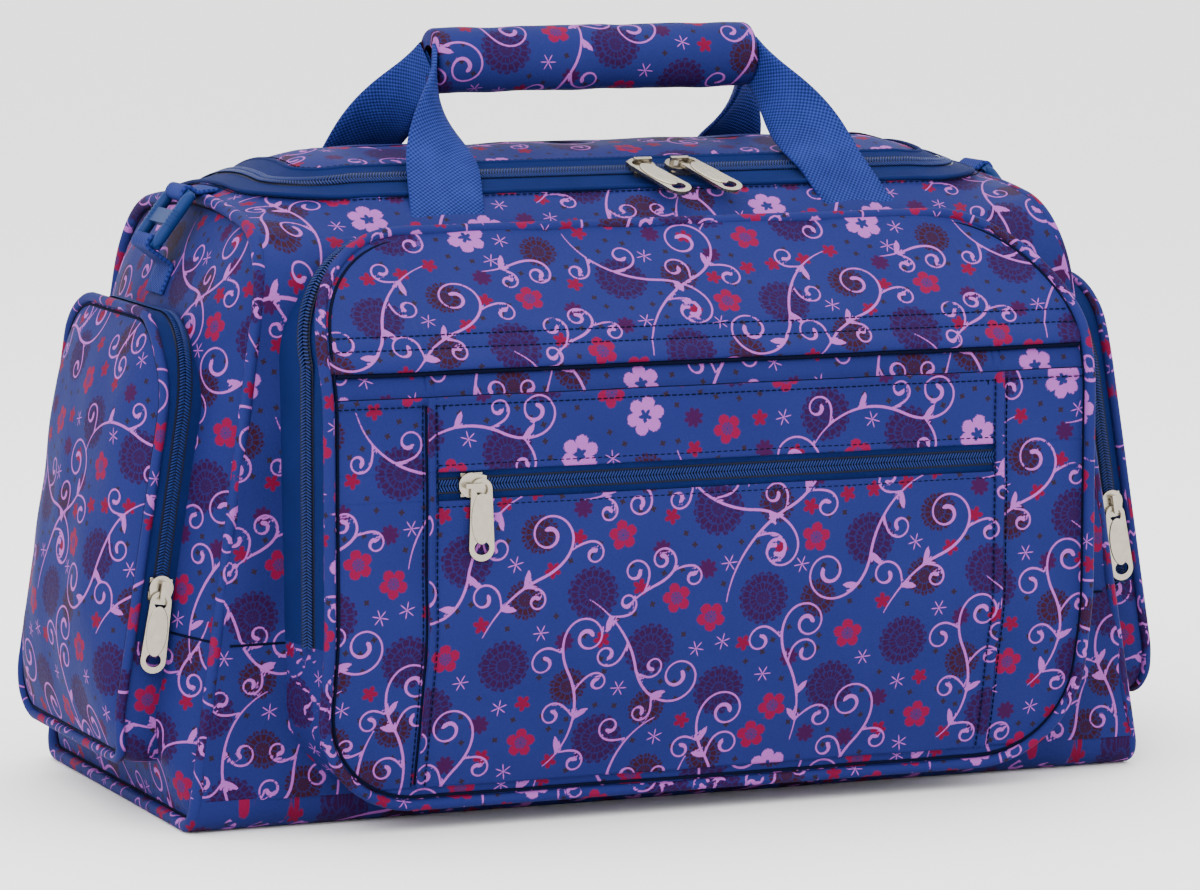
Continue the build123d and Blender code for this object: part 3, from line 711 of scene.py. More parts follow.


# Zips: plain woven tape with a coil chain along its middle.
# A chain is two rows of small slanting bars that meet along the middle, on a narrow raised strip painted near
# black as the shade in the groove round the chain.
def coil():
    """The coil's plastic: blue with a soft shine, and near black painted shade on the strip under the bars,
    where the flat coordinate is one.
    """
    material, tree, bsdf, place = new_material("zip_chain", 0.4, 0.0, 0.12)
    tone = noise(tree, place, 400.0, 2.0)
    bars = over(tree, (0.0030, 0.0090, 0.055), (0.0075, 0.0190, 0.105), tone)
    split = tree.nodes.new("ShaderNodeSeparateXYZ")
    tree.links.new(attribute(tree, "cloth")["Vector"], split.inputs[0])
    # The near black where the flat coordinate is one is painted shade: the shadow in the groove beside the
    # chain.
    tree.links.new(over(tree, bars, (0.0010, 0.0022, 0.012), split.outputs[0]), bsdf.inputs["Base Color"])
    return material


coil_material = coil()
bar_pitch = 1.5
bar_offset = 1.5
bar_slant = 0.5
bar_lift = 0.9
bar_rings = (-1.7, -1.105, 1.105, 1.7)
bar_radii = (0.225, 0.5, 0.5, 0.225)
shade_bed_half = 3.9
shade_bed_lift = 0.25


def bars(middle, way, flank, rise, at, wide):
    """The points of six-sided bars, one at every middle: four rings at distances along its way, of four
    radii, in the plane of its flank and rise."""
    angle = np.arange(6) * math.pi / 3
    ring = np.cos(angle)[:, None, None] * flank + np.sin(angle)[:, None, None] * rise
    points = middle + way * np.array(at)[:, None, None, None] + ring * np.array(wide)[:, None, None, None]
    return np.moveaxis(points, 2, 0)


def bar_faces(count):
    """The faces of a number of six-sided bars of four rings each."""
    index = np.arange(count * 24).reshape(count, 4, 6)
    wrap = np.roll(index, -1, axis=2)
    return np.stack([index[:, :-1], wrap[:, :-1], wrap[:, 1:], index[:, 1:]], -1).reshape(-1, 4)


def chain(name, path, normal):
    """A zip's chain along a path: a six-sided bar at every point in each of two slanting rows, on a dark
    strip of painted shade, standing on the tape along its normal; it stands for the solid of its own name."""
    ahead = unit(np.gradient(path, axis=0))
    across = unit(np.cross(normal, ahead))
    rise = np.cross(ahead, across)
    rows = []
    for row in (-1, 1):
        way = across * math.cos(bar_slant) + ahead * (row * math.sin(bar_slant))
        middle = path + across * (row * bar_offset) + rise * bar_lift
        rows.append(bars(middle, way, np.cross(rise, way), rise, bar_rings, bar_radii))
    points = np.concatenate(rows)
    count = len(points)
    faces = bar_faces(count)
    # The bed: a near black strip of painted shade under the bars, for the groove shadow round the chain; its
    # flat coordinate is one.
    shade_bed_middle = path + rise * shade_bed_lift
    strip = np.concatenate([shade_bed_middle - across * shade_bed_half, shade_bed_middle + across * shade_bed_half])
    first = np.arange(len(path) - 1) + count * 24
    shade_bed = np.stack([first, first + 1, first + 1 + len(path), first + len(path)], -1)
    flat = np.zeros((count * 24 + len(strip), 2))
    flat[count * 24:, 0] = 1.0
    points = np.concatenate([points.reshape(-1, 3), strip])
    return sew(mesh_piece(name, points, np.concatenate([faces, shade_bed]), flat, coil_material), "zip_chain", name)


sewing = two_tone("thread", 0.8, 0.03, (0.0009, 0.0016, 0.008), (0.0018, 0.0030, 0.014), 800.0, 1.0)
stitch_pitch = 3.3
stitch_rings = (-1.25, -0.8, 0.8, 1.25)
stitch_radii = (0.12, 0.33, 0.33, 0.12)


def stitches(name, path, normal):
    """A row of lock stitches along a path: short six-sided bars with pointed ends, and a gap between."""
    path = even_path(path, stitch_pitch, False)
    normal = np.broadcast_to(normal, path.shape)
    ahead = unit(np.gradient(path, axis=0))
    across = unit(np.cross(normal, ahead))
    points = bars(path, ahead, across, normal, stitch_rings, stitch_radii)
    count = len(points)
    piece = mesh_piece(name, points.reshape(-1, 3), bar_faces(count), np.zeros((count * 24, 2)), sewing)
    sew(piece, "zip_tape")


def seam(path, normal, radius=0.6):
    """A thin dark cord half sunk in the cloth along a path: the dark line of a sewn seam, and also painted
    shade lines beside the pipings and under the slip pocket's fold.
    """
    sew(cord("seam", path, radius, normal, sewing), "zip_tape")


# Cross seams and shade lines: the sewn lines across the ends and the front wall, in dark thread,
# and a dark line of painted shade where each end's piping is sewn to its panel.
cross_height = 92.0
shade_line_inset = 6.4
shade_line_radius = 0.7
cross_row = np.array([int(np.argmin(np.abs(middle_slice[:, 1] - cross_height)))])
for side in (-1, 1):
    for edge in (-1, 1):
        across_end = np.column_stack([edge * np.linspace(84, 113, 16), np.full(16, cross_height + 1)])
        seam(end_place(across_end, dome_height(across_end) + 0.2, side), np.array([side, 0.0, 0.0]))
    seam(body_points(side * np.linspace(0.84, 0.975, 16), cross_row, -1)[0], np.array([0.0, -1.0, 0.0]))
    # A dark cord of painted shade: the shadow line along the inner edge of each end's piping, where it is sewn
    # to the panel.
    shade_line = outline - outward(outline) * shade_line_inset
    shade_line = end_place(shade_line, dome_height(shade_line) + 0.2, side)
    seam(np.concatenate([shade_line, shade_line[:1]]), np.array([side, 0.0, 0.0]), shade_line_radius)


# Main zip: a U of tape round the lid, open along the back, with its chain and a rolled hem each side.
# The tape lies on the top of the bag, in a shallow groove of the cloth.
top_rises = (middle_crown - middle_side, end_crown - end_side)
zip_half = 186.0
zip_back = 66.0
zip_corner = 36.0
zip_step = 1.5
tape_half = 14.2
hem_offset = 13.6


def top_height(x, y):
    """The height of the bag's top over a place in plan: the middle arch, drawn down to the end arch."""
    arch, end_arch = ((top_half ** 2 + rise ** 2) / (2 * rise) for rise in top_rises)
    mid = middle_crown - arch + np.sqrt(arch ** 2 - y ** 2)
    end = end_crown - end_arch + np.sqrt(end_arch ** 2 - y ** 2)
    ramp = np.clip((np.abs(x) - straight) / (end_foot - end_slope * end + end_margin - straight), 0, 1)
    return mid + ramp ** draw_power * (end - mid)


zip_corners = [(-zip_half, zip_back), (-zip_half, -zip_depth), (zip_half, -zip_depth), (zip_half, zip_back)]
zip_path = rounded(zip_corners, [0, zip_corner, zip_corner, 0], zip_step, closed=False)
zip_side = right_of(zip_path)


def on_top(offset, lift):
    """The zip's path moved sideways in plan and laid on the bag's top at a lift."""
    plan = zip_path + zip_side * offset
    return np.column_stack([plan, top_height(plan[:, 0], plan[:, 1]) + lift])


def up_normal(path):
    """The top's normal along a path, from its slopes in plan."""
    x, y = path[:, 0], path[:, 1]
    slope_x = (top_height(x + 1, y) - top_height(x - 1, y)) / 2
    slope_y = (top_height(x, y + 1) - top_height(x, y - 1)) / 2
    return unit(np.column_stack([-slope_x, -slope_y, np.ones(len(x))]))


zip_across = np.linspace(-tape_half, tape_half, 15)
zip_tape = np.stack([on_top(offset, 0.9 - 0.5 * math.cos(offset * 0.22)) for offset in zip_across], 1)
zip_flat = lay(np.arange(len(zip_path))[:, None] * zip_step, zip_across[None, :])
sheet("main_zip_tape", "zip_tape", zip_tape, zip_flat)
front_run = np.clip((-30 - zip_path[:, 1]) / 30, 0, 1)
main_tilt = np.column_stack([np.zeros(len(zip_path)), -0.4 * front_run, np.zeros(len(zip_path))])
chain("main_zip_chain", on_top(0.0, 0.4 + 0.8 * front_run), up_normal(on_top(0.0, 0.0)) + main_tilt)
up = np.array([0, 0, 1.0])
for offset in (-hem_offset, hem_offset):
    sew(cord("main_zip_hem", on_top(offset, 0.8), 1.4, up, tape_material), "zip_tape")
    stitches("main_zip_stitch", on_top(offset * 1.22, 0.9), up)


# End pockets: a puffed printed face on a gusset that is zip tape over the top and print below,
# with a piped edge. The gusset follows the end panel's dome; the chain runs along its middle.
pocket_half = 82.0
pocket_low = 28.0
pocket_high = 243.0
pocket_zip_low = 88.0
pocket_step = 1.5
pocket_depth = 17.5
pocket_swell = 8.0
pocket_welt = 2.5
pocket_corners = [(-pocket_half, pocket_low), (pocket_half, pocket_low)]
pocket_corners += [(pocket_half, pocket_high), (-pocket_half, pocket_high)]
pocket_path = rounded(pocket_corners, [14, 14, 45, 45], pocket_step)
pocket_path = np.roll(pocket_path, -int(np.argmin(np.abs(pocket_path[:, 0]) + pocket_path[:, 1])), axis=0)
pocket_out = outward(pocket_path)
pocket_middle = np.array([0.0, 135.0])
pocket_root = dome_height(pocket_path)


pocket_prints = ((-1, "left_end_pocket_", (95.0, 35.0)), (1, "right_end_pocket_", (10.0, 140.0)))
for side, pocket_name, shift in pocket_prints:
    share = np.linspace(1, 0.0, 84) ** 0.9
    flat = pocket_middle + share[:, None, None] * (pocket_path - pocket_middle)
    swell = pocket_depth + pocket_swell * (1 - share[:, None] ** 3.5)
    swell = swell + ripple(flat[..., 0], flat[..., 1] + 40, 60, 0.8) * (1 - share[:, None] ** 4)
    face = end_place(flat, dome_height(flat) + swell, side)
    sheet(pocket_name + "panel", "print_cloth", face, flat * (side, 1) + shift, close=True)
    level = np.linspace(-2, 18, 10)
    puff = 1.4 * np.sin(np.clip((level + 2) / 20, 0, 1) * math.pi)
    ring = pocket_path[:, None] + pocket_out[:, None] * puff[None, :, None]
    wall_points = end_place(ring, pocket_root[:, None] + level[None, :], side)
    run = np.arange(len(pocket_path)) * pocket_step
    wall_flat = lay(run[:, None], level[None, :])
    zipped = np.flatnonzero(wall_points[:, 0, 2] > pocket_zip_low)
    sheet(pocket_name + "zip_tape", "zip_tape", wall_points[zipped], wall_flat[zipped])
    low = np.concatenate([np.arange(zipped[-1], len(pocket_path)), np.arange(zipped[0] + 1)])
    low_flat = lay(np.arange(len(low))[:, None] * pocket_step, level[None, :])
    low_part = wall_points[low] + np.array([side * 0.4, 0, 0])
    sheet(pocket_name + "gusset", "print_cloth", low_part, low_flat + 70)
    edge = end_place(pocket_path + pocket_out * 0.6, pocket_root + 18.6, side)
    out_of_end = np.array([side * math.cos(lean), 0, math.sin(lean)])
    piping(pocket_name + "piping", edge, pocket_welt, out_of_end, (50.0, 10.0))
    # A dark cord of painted shade along the inner edge of the pocket's piping, for the shadow line beside the
    # bead.
    shade_line = pocket_path - pocket_out * 3.2
    shade_line = end_place(shade_line, dome_height(shade_line) + 18.3, side)
    seam(np.concatenate([shade_line, shade_line[:1]]), np.array([side, 0.0, 0.0]), shade_line_radius)
    teeth = even_path(pocket_path[zipped], bar_pitch, False)
    teeth_out = right_of(teeth)
    teeth_level = np.maximum(26.0, dome_height(teeth) + 4)
    teeth_path = end_place(teeth + teeth_out * 1.2, teeth_level, side)
    teeth_normal = end_place(teeth + teeth_out * 2.2, teeth_level, side) - teeth_path
    chain(pocket_name + "zip_chain", teeth_path, teeth_normal)


# Front pocket: a bulging printed face with a folded slip pocket, a small zipped pocket and piping,
# on a deep gusset that is zip tape above the side seams and printed cloth below.
# The face is one side profile carried across and swelled; each sewn part has its own step and print.
front_half = 201.0
front_low = 14.0
front_high = 287.0
low_corner = 50.0
high_corner = 58.0
front_belly = 168.0
fold_height = 226.0
band_height = 213.5
slot_height = 171.0
slot_half = 7.0
slot_edge = 7.4
slot_reach = 148.0
patch_half = 152.0
front_zip_low = 91.0
front_step = 2.4
front_welt = 2.8
profile_corners = [(-146, 9), (-front_belly, 95), (-front_belly, 228), (-107, front_high), (-101, 293)]
front_profile = rounded(profile_corners, [0, 120, 60, 6, 0], 1.0, closed=False)
front_length = np.arange(len(front_profile)) * 1.0


def front_width(z):
    """Half the face's width at a height: straight sides with rounded corners at top and bottom."""
    low = np.clip((front_low + low_corner - z) / low_corner, 0, 1)
    high = np.clip((z - front_high + high_corner) / high_corner, 0, 1)
    return front_half - low_corner * (1 - np.sqrt(1 - low ** 2)) - high_corner * (1 - np.sqrt(1 - high ** 2))


def front_depth(x, z):
    """The face's depth at a place: the side profile plus a swell that dies out at the edges."""
    up = np.clip((z - front_low) / (front_high - front_low), 0, 1)
    swell = 0.6 * (1 - np.clip(np.abs(x) / front_width(z), 0, 1) ** 4) * np.sin(up * math.pi)
    return np.interp(z, front_profile[:, 1], front_profile[:, 0]) - swell


def rows_between(low, high, step):
    """Even heights from a low to a high one, both ends kept."""
    return np.linspace(low, high, max(2, int((high - low) / step)))


corner_rows = front_high - high_corner + high_corner * np.sin(np.linspace(0.2, math.pi / 2, 54))
row_sets = [
    (np.linspace(front_low, 22.0, 10), "foot"),
    (rows_between(22.0, slot_height - slot_half, 1.25), "pocket"),
    (rows_between(slot_height - slot_half, slot_height + slot_half, 2.0), "slot"),
    (rows_between(slot_height + slot_half, band_height, 1.25), "pocket"),
    (rows_between(band_height, fold_height, 1.25), "band"),
    (np.concatenate([rows_between(fold_height, 240.0, 1.0), corner_rows]), "upper"),
]
column_sets = [
    (np.linspace(-1, 0, 38), "left"),
    (np.linspace(-patch_half, -slot_reach, 5), "pocket"),
    (np.linspace(-slot_reach, slot_reach, 236), "slot"),
    (np.linspace(slot_reach, patch_half, 5), "pocket"),
    (np.linspace(0, 1, 38), "right"),
]
fold_rows = (236.0, 242.0)
print_shift = {"foot": (18, 6), "side": (18, 6), "pocket": (66, 31), "band": (140, 96), "upper": (103, 170)}


def ridge(away, width):
    """A smooth ridge of height one: a bell curve of a distance over a width."""
    return np.exp(-(away / width) ** 2)


def front_face():
    """The whole face as one grid of rows and columns, doubled where a sewn edge steps."""
    blocks = []
    flats = []
    for heights, row_kind in row_sets:
        z = heights[:, None]
        wide = front_width(z)
        inner = np.minimum(patch_half, 0.855 * wide)
        line = []
        shift = []
        step = []
        for place, column_kind in column_sets:
            if column_kind in ("left", "right"):
                x = inner * (1 if column_kind == "right" else -1) + place[None, :] * (wide - inner)
            else:
                x = place[None, :] * inner / patch_half
            x = np.broadcast_to(x, (len(heights), len(place)))
            outer = column_kind in ("left", "right")
            part = row_kind
            if row_kind in ("pocket", "slot"):
                part = "side" if outer else "pocket"
            rise = np.zeros_like(x)
            if row_kind == "upper":
                rise = rise + 2.6 - 1.2 * ridge(z - fold_height, 1.0) + 2.6 * ridge(z - 229.5, 5.0)
                rise = rise - 0.7 * ridge(z - fold_rows[0], 1.0) - 0.7 * ridge(z - fold_rows[1], 1.0)
            elif row_kind == "band":
                rise = rise - 0.5 - 1.2 * ridge(z - fold_height, 4.0)
            elif row_kind in ("pocket", "slot") and not outer:
                near = np.minimum(np.abs(np.abs(x) - patch_half), np.abs(z - band_height))
                rise = rise + 1.5 + 1.4 * ridge(near, 2.4) - 0.8 * ridge(near - 4.6, 1.2)
                zip_near = np.abs(np.abs(z - slot_height) - slot_half)
                rise = rise + 0.9 * ridge(zip_near, 2.0) * (np.abs(x) < 147)
                if row_kind == "slot" and column_kind == "slot":
                    rise = rise * 0 - 1.6
            elif row_kind in ("pocket", "slot"):
                rise = rise + 0.3 + 1.0 * ridge(z - band_height, 2.4)
            line.append(x)
            step.append(rise)
            shift.append(np.broadcast_to(np.array(print_shift[part], float), x.shape + (2,)))
        x = np.concatenate(line, 1)
        rise = np.concatenate(step, 1)
        edge = np.clip((wide - np.abs(x)) / 14, 0, 1)
        depth = front_depth(x, z) - rise * edge ** 0.5 + ripple(x, z, 75, 0.9) * edge
        blocks.append(lay(x, depth, z))
        run = np.interp(z, front_profile[:, 1], front_length)
        flats.append(lay(x, run) + np.concatenate(shift, 1))
    return np.concatenate(blocks), np.concatenate(flats)


front_points, front_flat = front_face()
front = grid("front_pocket_face", front_points, front_flat, print_material)
sew(front, "print_cloth", "front_upper_panel", "slip_pocket_band", "front_lower_panel", "zip_pocket_panel")


def on_front(x, z, lift):
    """Places on the front face, a lift in front of it."""
    return lay(x, front_depth(x, z) - lift, z)


def on_cloth(x, z, lift):
    """Places on the front face with its creases, a lift in front of it."""
    places = on_front(x, z, lift)
    edge = np.clip((front_width(places[..., 2]) - np.abs(places[..., 0])) / 14, 0, 1)
    places[..., 1] += ripple(places[..., 0], places[..., 2], 75, 0.9) * edge
    return places


facing = np.array([0.0, -1.0, 0.0])
across_front = np.linspace(-1, 1, 120)
stitches("fold_stitch", on_cloth(across_front * 192, fold_rows[1], 2.2), facing)
stitches("fold_stitch", on_cloth(across_front * 194, fold_rows[0], 2.6), facing)
stitches("band_stitch", on_cloth(across_front * 196, 209.4, 1.1), facing)
stitches("slot_stitch", on_cloth(across_front * 146, slot_height + 10, 1.5), facing)
stitches("slot_stitch", on_cloth(across_front * 146, slot_height - 10, 1.5), facing)
seam(on_cloth(across_front * 197, 213.3, 0.2), facing)
# A thick dark cord of painted shadow just under the slip pocket's fold.
seam(on_cloth(across_front * 196, 225.0, 0.2), facing, 1.5)
seam(on_cloth(across_front * slot_reach, slot_height - slot_edge, 0.9), facing)
seam(on_cloth(across_front * slot_reach, slot_height + slot_edge, 0.9), facing)
up_front = np.linspace(24, 209, 90)
for side in (-1, 1):
    seam(on_cloth(side * 152.6, up_front, 0.5), facing)
    seam(on_cloth(side * 143.6, np.linspace(24, 159, 70), 0.9), facing, 0.45)
    seam(on_cloth(side * 143.6, np.linspace(183, 209, 16), 0.9), facing, 0.45)
    stitches("pocket_stitch", on_cloth(side * 147.4, up_front, 1.4), facing)
    stitches("pocket_stitch", on_cloth(side * 154.4, up_front, 0.6), facing)

front_corners = [(-front_half, front_low), (front_half, front_low)]
front_corners += [(front_half, front_high), (-front_half, front_high)]
front_path = rounded(front_corners, [low_corner, low_corner, high_corner, high_corner], front_step)
front_path = np.roll(front_path, -int(np.argmin(np.abs(front_path[:, 0]) + front_path[:, 1])), axis=0)
front_out = outward(front_path)
front_edge = front_path + front_out * (0.6 - 1.7 * np.clip(front_out[:, :1], 0, 1))
edge_depth = front_depth(front_path[:, 0], front_path[:, 1])
welt_depth = edge_depth - 0.4 - 1.8 * np.clip(front_out[:, 0], 0, 1)
front_edge = np.column_stack([front_edge[:, 0], welt_depth, front_edge[:, 1]])
piping("front_pocket_piping", front_edge, front_welt, facing, (10.0, 20.0))

# A dark cord of painted shade along the inner edge of the front pocket's piping, for the shadow line beside the
# bead.
shade_line_x, shade_line_z = (front_path - front_out * 3.6).T
shade_line = on_cloth(shade_line_x, shade_line_z, 0.5 + 0.9 * (shade_line_z > fold_height))
seam(np.concatenate([shade_line, shade_line[:1]]), facing, 0.8)

gusset_path = front_path - front_out * 3.0
wall_depth = -np.interp(gusset_path[:, 1], middle_slice[:184, 1], middle_slice[:184, 0])
gusset_front = edge_depth + 0.3
gusset_share = np.linspace(0, 1, 14)
gusset_puff = 2.0 * np.sin(np.clip(gusset_share * 2, 0, 1) * math.pi)
gusset_puff = gusset_puff + 9.0 * np.clip(gusset_share * 2 - 1, 0, 1) ** 1.3
gusset_left = np.clip(-front_out[:, :1], 0, 1)
gusset_puff = (1 - gusset_left) * gusset_puff + gusset_left * 10.0 * gusset_share
gusset_y = gusset_front[:, None] + gusset_share[None, :] * (wall_depth + 3 - gusset_front)[:, None]
gusset_xz = gusset_path[:, None] + (front_out * (1.0, 0.25))[:, None] * gusset_puff[..., None]
gusset_points = lay(gusset_xz[..., 0], gusset_y, gusset_xz[..., 1])
gusset_flat = lay(np.arange(len(front_path))[:, None] * front_step, gusset_y)
zipped = np.flatnonzero(gusset_path[:, 1] > front_zip_low)
sheet("front_pocket_zip_tape", "zip_tape", gusset_points[zipped], gusset_flat[zipped])
low = np.concatenate([np.arange(zipped[-1], len(front_path)), np.arange(zipped[0] + 1)])
low_flat = lay(np.arange(len(low))[:, None] * front_step, gusset_y[low])
sheet("front_pocket_gusset", "print_cloth", gusset_points[low], low_flat + (0, 240))
front_teeth = even_path(gusset_path[zipped], bar_pitch, False)
teeth_out = right_of(front_teeth)
teeth_y = np.interp(front_teeth[:, 1], [228, front_high], [-144, -104])
teeth_left = np.clip(-teeth_out[:, 0], 0, 1)
front_teeth = front_teeth + teeth_out * (2.2 + 3.7 * teeth_left)[:, None]
front_teeth = np.column_stack([front_teeth[:, 0], teeth_y, front_teeth[:, 1]])
teeth_normal = np.column_stack([teeth_out[:, 0], -0.7 * teeth_left, teeth_out[:, 1]])
chain("front_pocket_zip_chain", front_teeth, teeth_normal)

slot_x = np.linspace(-slot_reach, slot_reach, 60)
slot_z = np.linspace(slot_height - slot_edge, slot_height + slot_edge, 8)
slot_tape = on_front(slot_x[:, None], slot_z[None, :], -0.2)
slot_flat = lay(slot_x[:, None], slot_z[None, :])
sheet("pocket_zip_tape", "zip_tape", slot_tape, slot_flat)
slot_teeth = on_front(np.linspace(-147, 147, 197), slot_height, -0.1)
chain("pocket_zip_chain", slot_teeth, np.broadcast_to(facing, slot_teeth.shape))


# Handle: two webbing straps sewn under the top seams, joined by a padded printed wrap.
# Each strap is a flat ribbon that leaves its foot flat and turns upright before the wrap.
webbing_material = plain_cloth("webbing", (0.0042, 0.0085, 0.056), (0.0176, 0.0310, 0.176), 2.5, 0.75)


def ribbon(name, path, across, half, thick, material):
    """A flat strap: a flat rounded section carried along a path, with its width along a given way."""
    ahead = unit(np.gradient(path, axis=0))
    across = unit(across - ahead * np.sum(across * ahead, axis=1)[:, None])
    face = np.cross(ahead, across)
    wide = np.concatenate([np.linspace(-0.97, 0.97, 9), [1.0], np.linspace(0.97, -0.97, 9), [-1.0]])
    high = np.concatenate([np.full(9, 0.5), [0.0], np.full(9, -0.5), [0.0]])
    points = path[:, None] + across[:, None] * (half[:, None] * wide)[..., None]
    points = points + face[:, None] * (thick * high)[None, :, None]
    flat = lay(distance(path)[:, None], half[:, None] * wide[None, :])
    return grid(name, points, flat, material, close=True)


def blend_in(share, low, high):
    """A smooth step from nought to one between two shares."""
    t = np.clip((share - low) / (high - low), 0, 1)
    return t * t * (3 - 2 * t)


wrap_half = 87.5
wrap_radius = 16.5
wrap_height = 363.5
wrap_edge = 3.0
strap_foot = np.array([113.0, 97.0, 283.0])
strap_knee = np.array([104.0, 62.0, 318.0])
strap_top = np.array([86.0, 3.0, wrap_height])
strap_half = 19.0
strap_taper = 7.5
strap_thick = 2.2
share = np.linspace(0, 1, 60)
for facing_side, strap_name in ((-1, "front_handle_strap"), (1, "rear_handle_strap")):
    for side in (-1, 1):
        along, rest = share[:, None], 1 - share[:, None]
        bend = rest ** 2 * strap_foot + 2 * along * rest * strap_knee + along ** 2 * strap_top
        bend = bend * (side, facing_side, 1)
        turn = blend_in(share, 0.35, 0.97) * math.pi / 2
        way = np.column_stack([np.cos(turn) * side, np.zeros(60), np.sin(turn)])
        half = strap_half - strap_taper * blend_in(share, 0.45, 1.0)
        leg = ribbon(strap_name, bend, way, half, strap_thick, webbing_material)
        sew(leg, "webbing", *([strap_name] if side < 0 else []))

edge_turn = np.linspace(0, math.pi / 2, 7)
edge_x = wrap_half - wrap_edge * (1 - np.cos(edge_turn))
edge_r = wrap_radius - wrap_edge * (1 - np.sin(edge_turn))
wrap_x = np.concatenate([[-wrap_half], -edge_x, np.linspace(-83, 83, 110), edge_x[::-1], [wrap_half]])
wrap_r = np.concatenate([[8.0], edge_r, np.full(110, wrap_radius), edge_r[::-1], [8.0]])
wrap_turn = np.linspace(0, 2 * math.pi, 90)[:-1]
wrap_soft = ripple(wrap_x[:, None], 16 * wrap_turn[None, :], 40, 0.35)
wrap_reach = wrap_r[:, None] + wrap_soft - 0.9 * ridge(wrap_turn[None, :] - 5.25, 0.05)
wrap_up = wrap_height + wrap_reach * np.sin(wrap_turn)
wrap_points = lay(wrap_x[:, None], wrap_reach * np.cos(wrap_turn), wrap_up)
wrap_flat = lay(wrap_x[:, None], wrap_radius * wrap_turn[None, :])
wrap = sheet("handle_wrap", "print_cloth", wrap_points, wrap_flat + (120, 40), close=True)


# Strap anchors and zip pulls: a moulded ring on webbing tabs, and cast sliders with their pullers.
# They keep their solids, with softened edges.
def dress(node, material, edge):
    """A solid's own mesh in a material, its sharp edges rounded by a small bevel."""
    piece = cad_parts[node]
    piece.data.materials.clear()
    piece.data.materials.append(material)
    bevel = piece.modifiers.new("edge", "BEVEL")
    bevel.width = edge
    bevel.segments = 2
    bevel.limit_method = "ANGLE"
    bevel.harden_normals = False


def nickel():
    """Satin nickel plate with fine polishing grain."""
    material, tree, bsdf, place = new_material("nickel", 0.26, 1.0, 0.5)
    tone = over(tree, (0.30, 0.268, 0.212), (0.41, 0.372, 0.305), noise(tree, place, 300.0, 3.0))
    tree.links.new(tone, bsdf.inputs["Base Color"])
    bump(tree, bsdf, noise(tree, place, 2500.0, 2.0), 0.0001, 0.2)
    return material


ring_material = two_tone(
    "ring_plastic", 0.48, 0.09, (0.0046, 0.0185, 0.082), (0.0064, 0.0230, 0.100), 90.0, 2.0)
nickel_material = nickel()
ring_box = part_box("right_anchor_ring")
ring_middle = np.array([ring_box[0][0] + ring_box[1][0], ring_box[0][2] + ring_box[1][2]]) * 500
ring_along = np.array([-0.6, 0.8])
ring_up = np.array([0.8, 0.6])
rail_offset = 15.0
rail_half = 16.4
rail_radius = 3.1
rib_reach = 3.0
rib_radius = 0.45
tab_half = 12.5
tab_thick = 2.0


def by_ring(places):
    """Places along and above the ring's plane, as distance along the bag and height."""
    places = np.asarray(places, float)
    return ring_middle + places[:, :1] * ring_along + places[:, 1:] * ring_up


def tab(name, corners, radii, side):
    """A webbing tab: a ribbon along a path given as distance along the bag and height."""
    path = rounded(corners, radii, 0.8, closed=False)
    path = np.column_stack([side * path[:, 0], np.zeros(len(path)), path[:, 1]])
    way = np.broadcast_to(np.array([0.0, 1.0, 0.0]), path.shape)
    piece = ribbon(name, path, way, np.full(len(path), tab_half), tab_thick, webbing_material)
    sew(piece, "webbing", name)


panel_up = np.column_stack([np.zeros(80), np.linspace(230, 299, 80)])
panel_line = end_place(panel_up, dome_height(panel_up) + 1.3, 1)[:, [0, 2]]
panel_along = (panel_line - ring_middle) @ ring_along


def on_panel(along):
    """The place on the end panel's middle line at a distance along the ring."""
    return np.array([np.interp(along, panel_along, panel_line[:, k]) for k in (0, 1)])


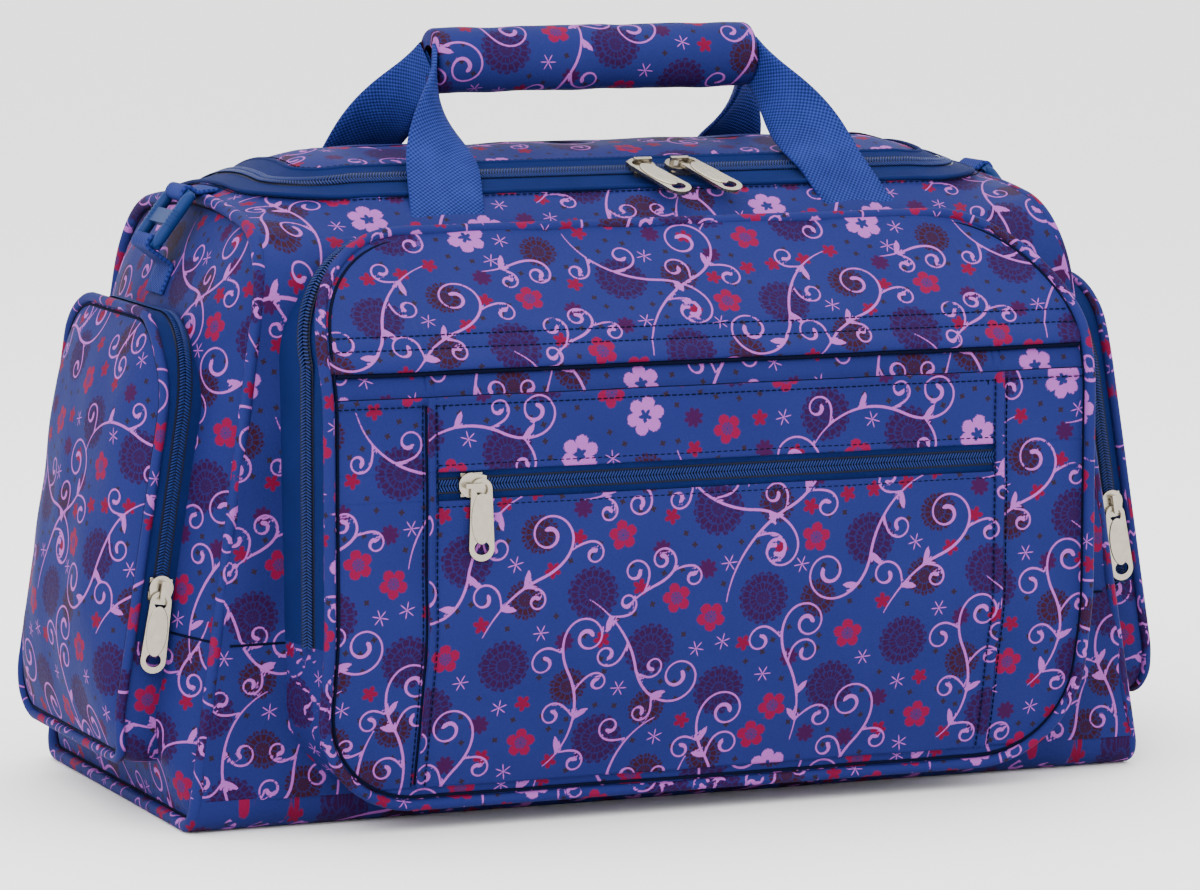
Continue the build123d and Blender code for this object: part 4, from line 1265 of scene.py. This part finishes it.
loop_outer = 18.2
loop_inner = 11.8
loop_lift = 3.2
loop_bend = 2.6
tail_root = on_panel(-loop_outer)
tail_end = on_panel(-loop_outer - 15.0)
for side, end_name in ((-1, "left"), (1, "right")):
    dress(end_name + "_anchor_ring", ring_material, 0.0006)
    loop = by_ring([(-loop_outer, loop_lift), (-loop_inner, loop_lift), (-loop_inner, -loop_lift),
                    (-16.3, -loop_lift)])
    bends = [0, 2.0, loop_bend, loop_bend, loop_bend, 0]
    tab(end_name + "_lower_anchor_tab", [tail_end, tail_root, *loop], bends, side)
    loop = by_ring([(loop_outer, -loop_lift), (loop_outer, loop_lift), (loop_inner, loop_lift),
                    (loop_inner, -loop_lift), (16.0, -loop_lift)])
    bends = [0, 1.0, 1.0, loop_bend, loop_bend, loop_bend, 0]
    tab(end_name + "_upper_anchor_tab", [(194.0, 303.0), (205.0, 302.4), *loop], bends, side)
    along_ring = np.array([side * ring_along[0], 0, ring_along[1]])
    for rail in (-rail_offset, rail_offset):
        run = np.linspace(-1, 1, 25)
        bar = by_ring(np.column_stack([rail_half * run, np.zeros(25)]))
        bar = np.column_stack([side * bar[:, 0], np.full(25, rail), bar[:, 1]])
        round_end = rail_radius * np.sqrt(1.02 - np.abs(run) ** 8)
        sideways = np.array([0, 1.0, 0])
        sew(cord("ring_rail", bar, round_end, sideways, ring_material), "ring_plastic")
        for rung in np.linspace(-4, 4, 5):
            turn = np.linspace(-1.5, 1.5, 15)
            rib = by_ring(np.column_stack([np.full(15, rung), rib_reach * np.cos(turn)]))
            rib = np.column_stack([side * rib[:, 0], rail + rib_reach * np.sin(turn), rib[:, 1]])
            sew(cord("ring_rib", rib, rib_radius, along_ring, ring_material), "ring_plastic")


def boss_rim(node):
    """The rim of a puller's raised oval: a thin ring at the foot of the solid's outermost flat."""
    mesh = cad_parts[node].data
    spots = np.array([v.co for v in mesh.vertices]) * 1000
    out = np.array(max(mesh.polygons, key=lambda face: face.area).normal)
    levels = spots @ out
    flats = [spots[levels > levels.max() - 0.05], spots[levels < levels.min() + 0.05]]
    reach = [np.ptp(flat, axis=0).max() for flat in flats]
    oval = flats[int(np.argmin(reach))]
    out = out if reach[0] < reach[1] else -out
    middle = (oval.max(0) + oval.min(0)) / 2
    long, wide = np.linalg.svd(oval - middle, full_matrices=False)[2][:2]
    turn = np.linspace(0, 2 * math.pi, 61)[:-1, None]
    half = np.abs((oval - middle) @ np.stack([long, wide], 1)).max(0)
    path = middle - out * 0.4 + half[0] * np.cos(turn) * long + half[1] * np.sin(turn) * wide
    piece = cord("boss_rim", path, 0.42, out, nickel_material, closed=True)
    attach(piece, node)


for zip_name in ("main_left", "main_right", "pocket", "front_pocket", "left_end", "right_end"):
    dress(zip_name + "_slider", nickel_material, 0.0004)
    dress(zip_name + "_puller", nickel_material, 0.0003)
    boss_rim(zip_name + "_puller")
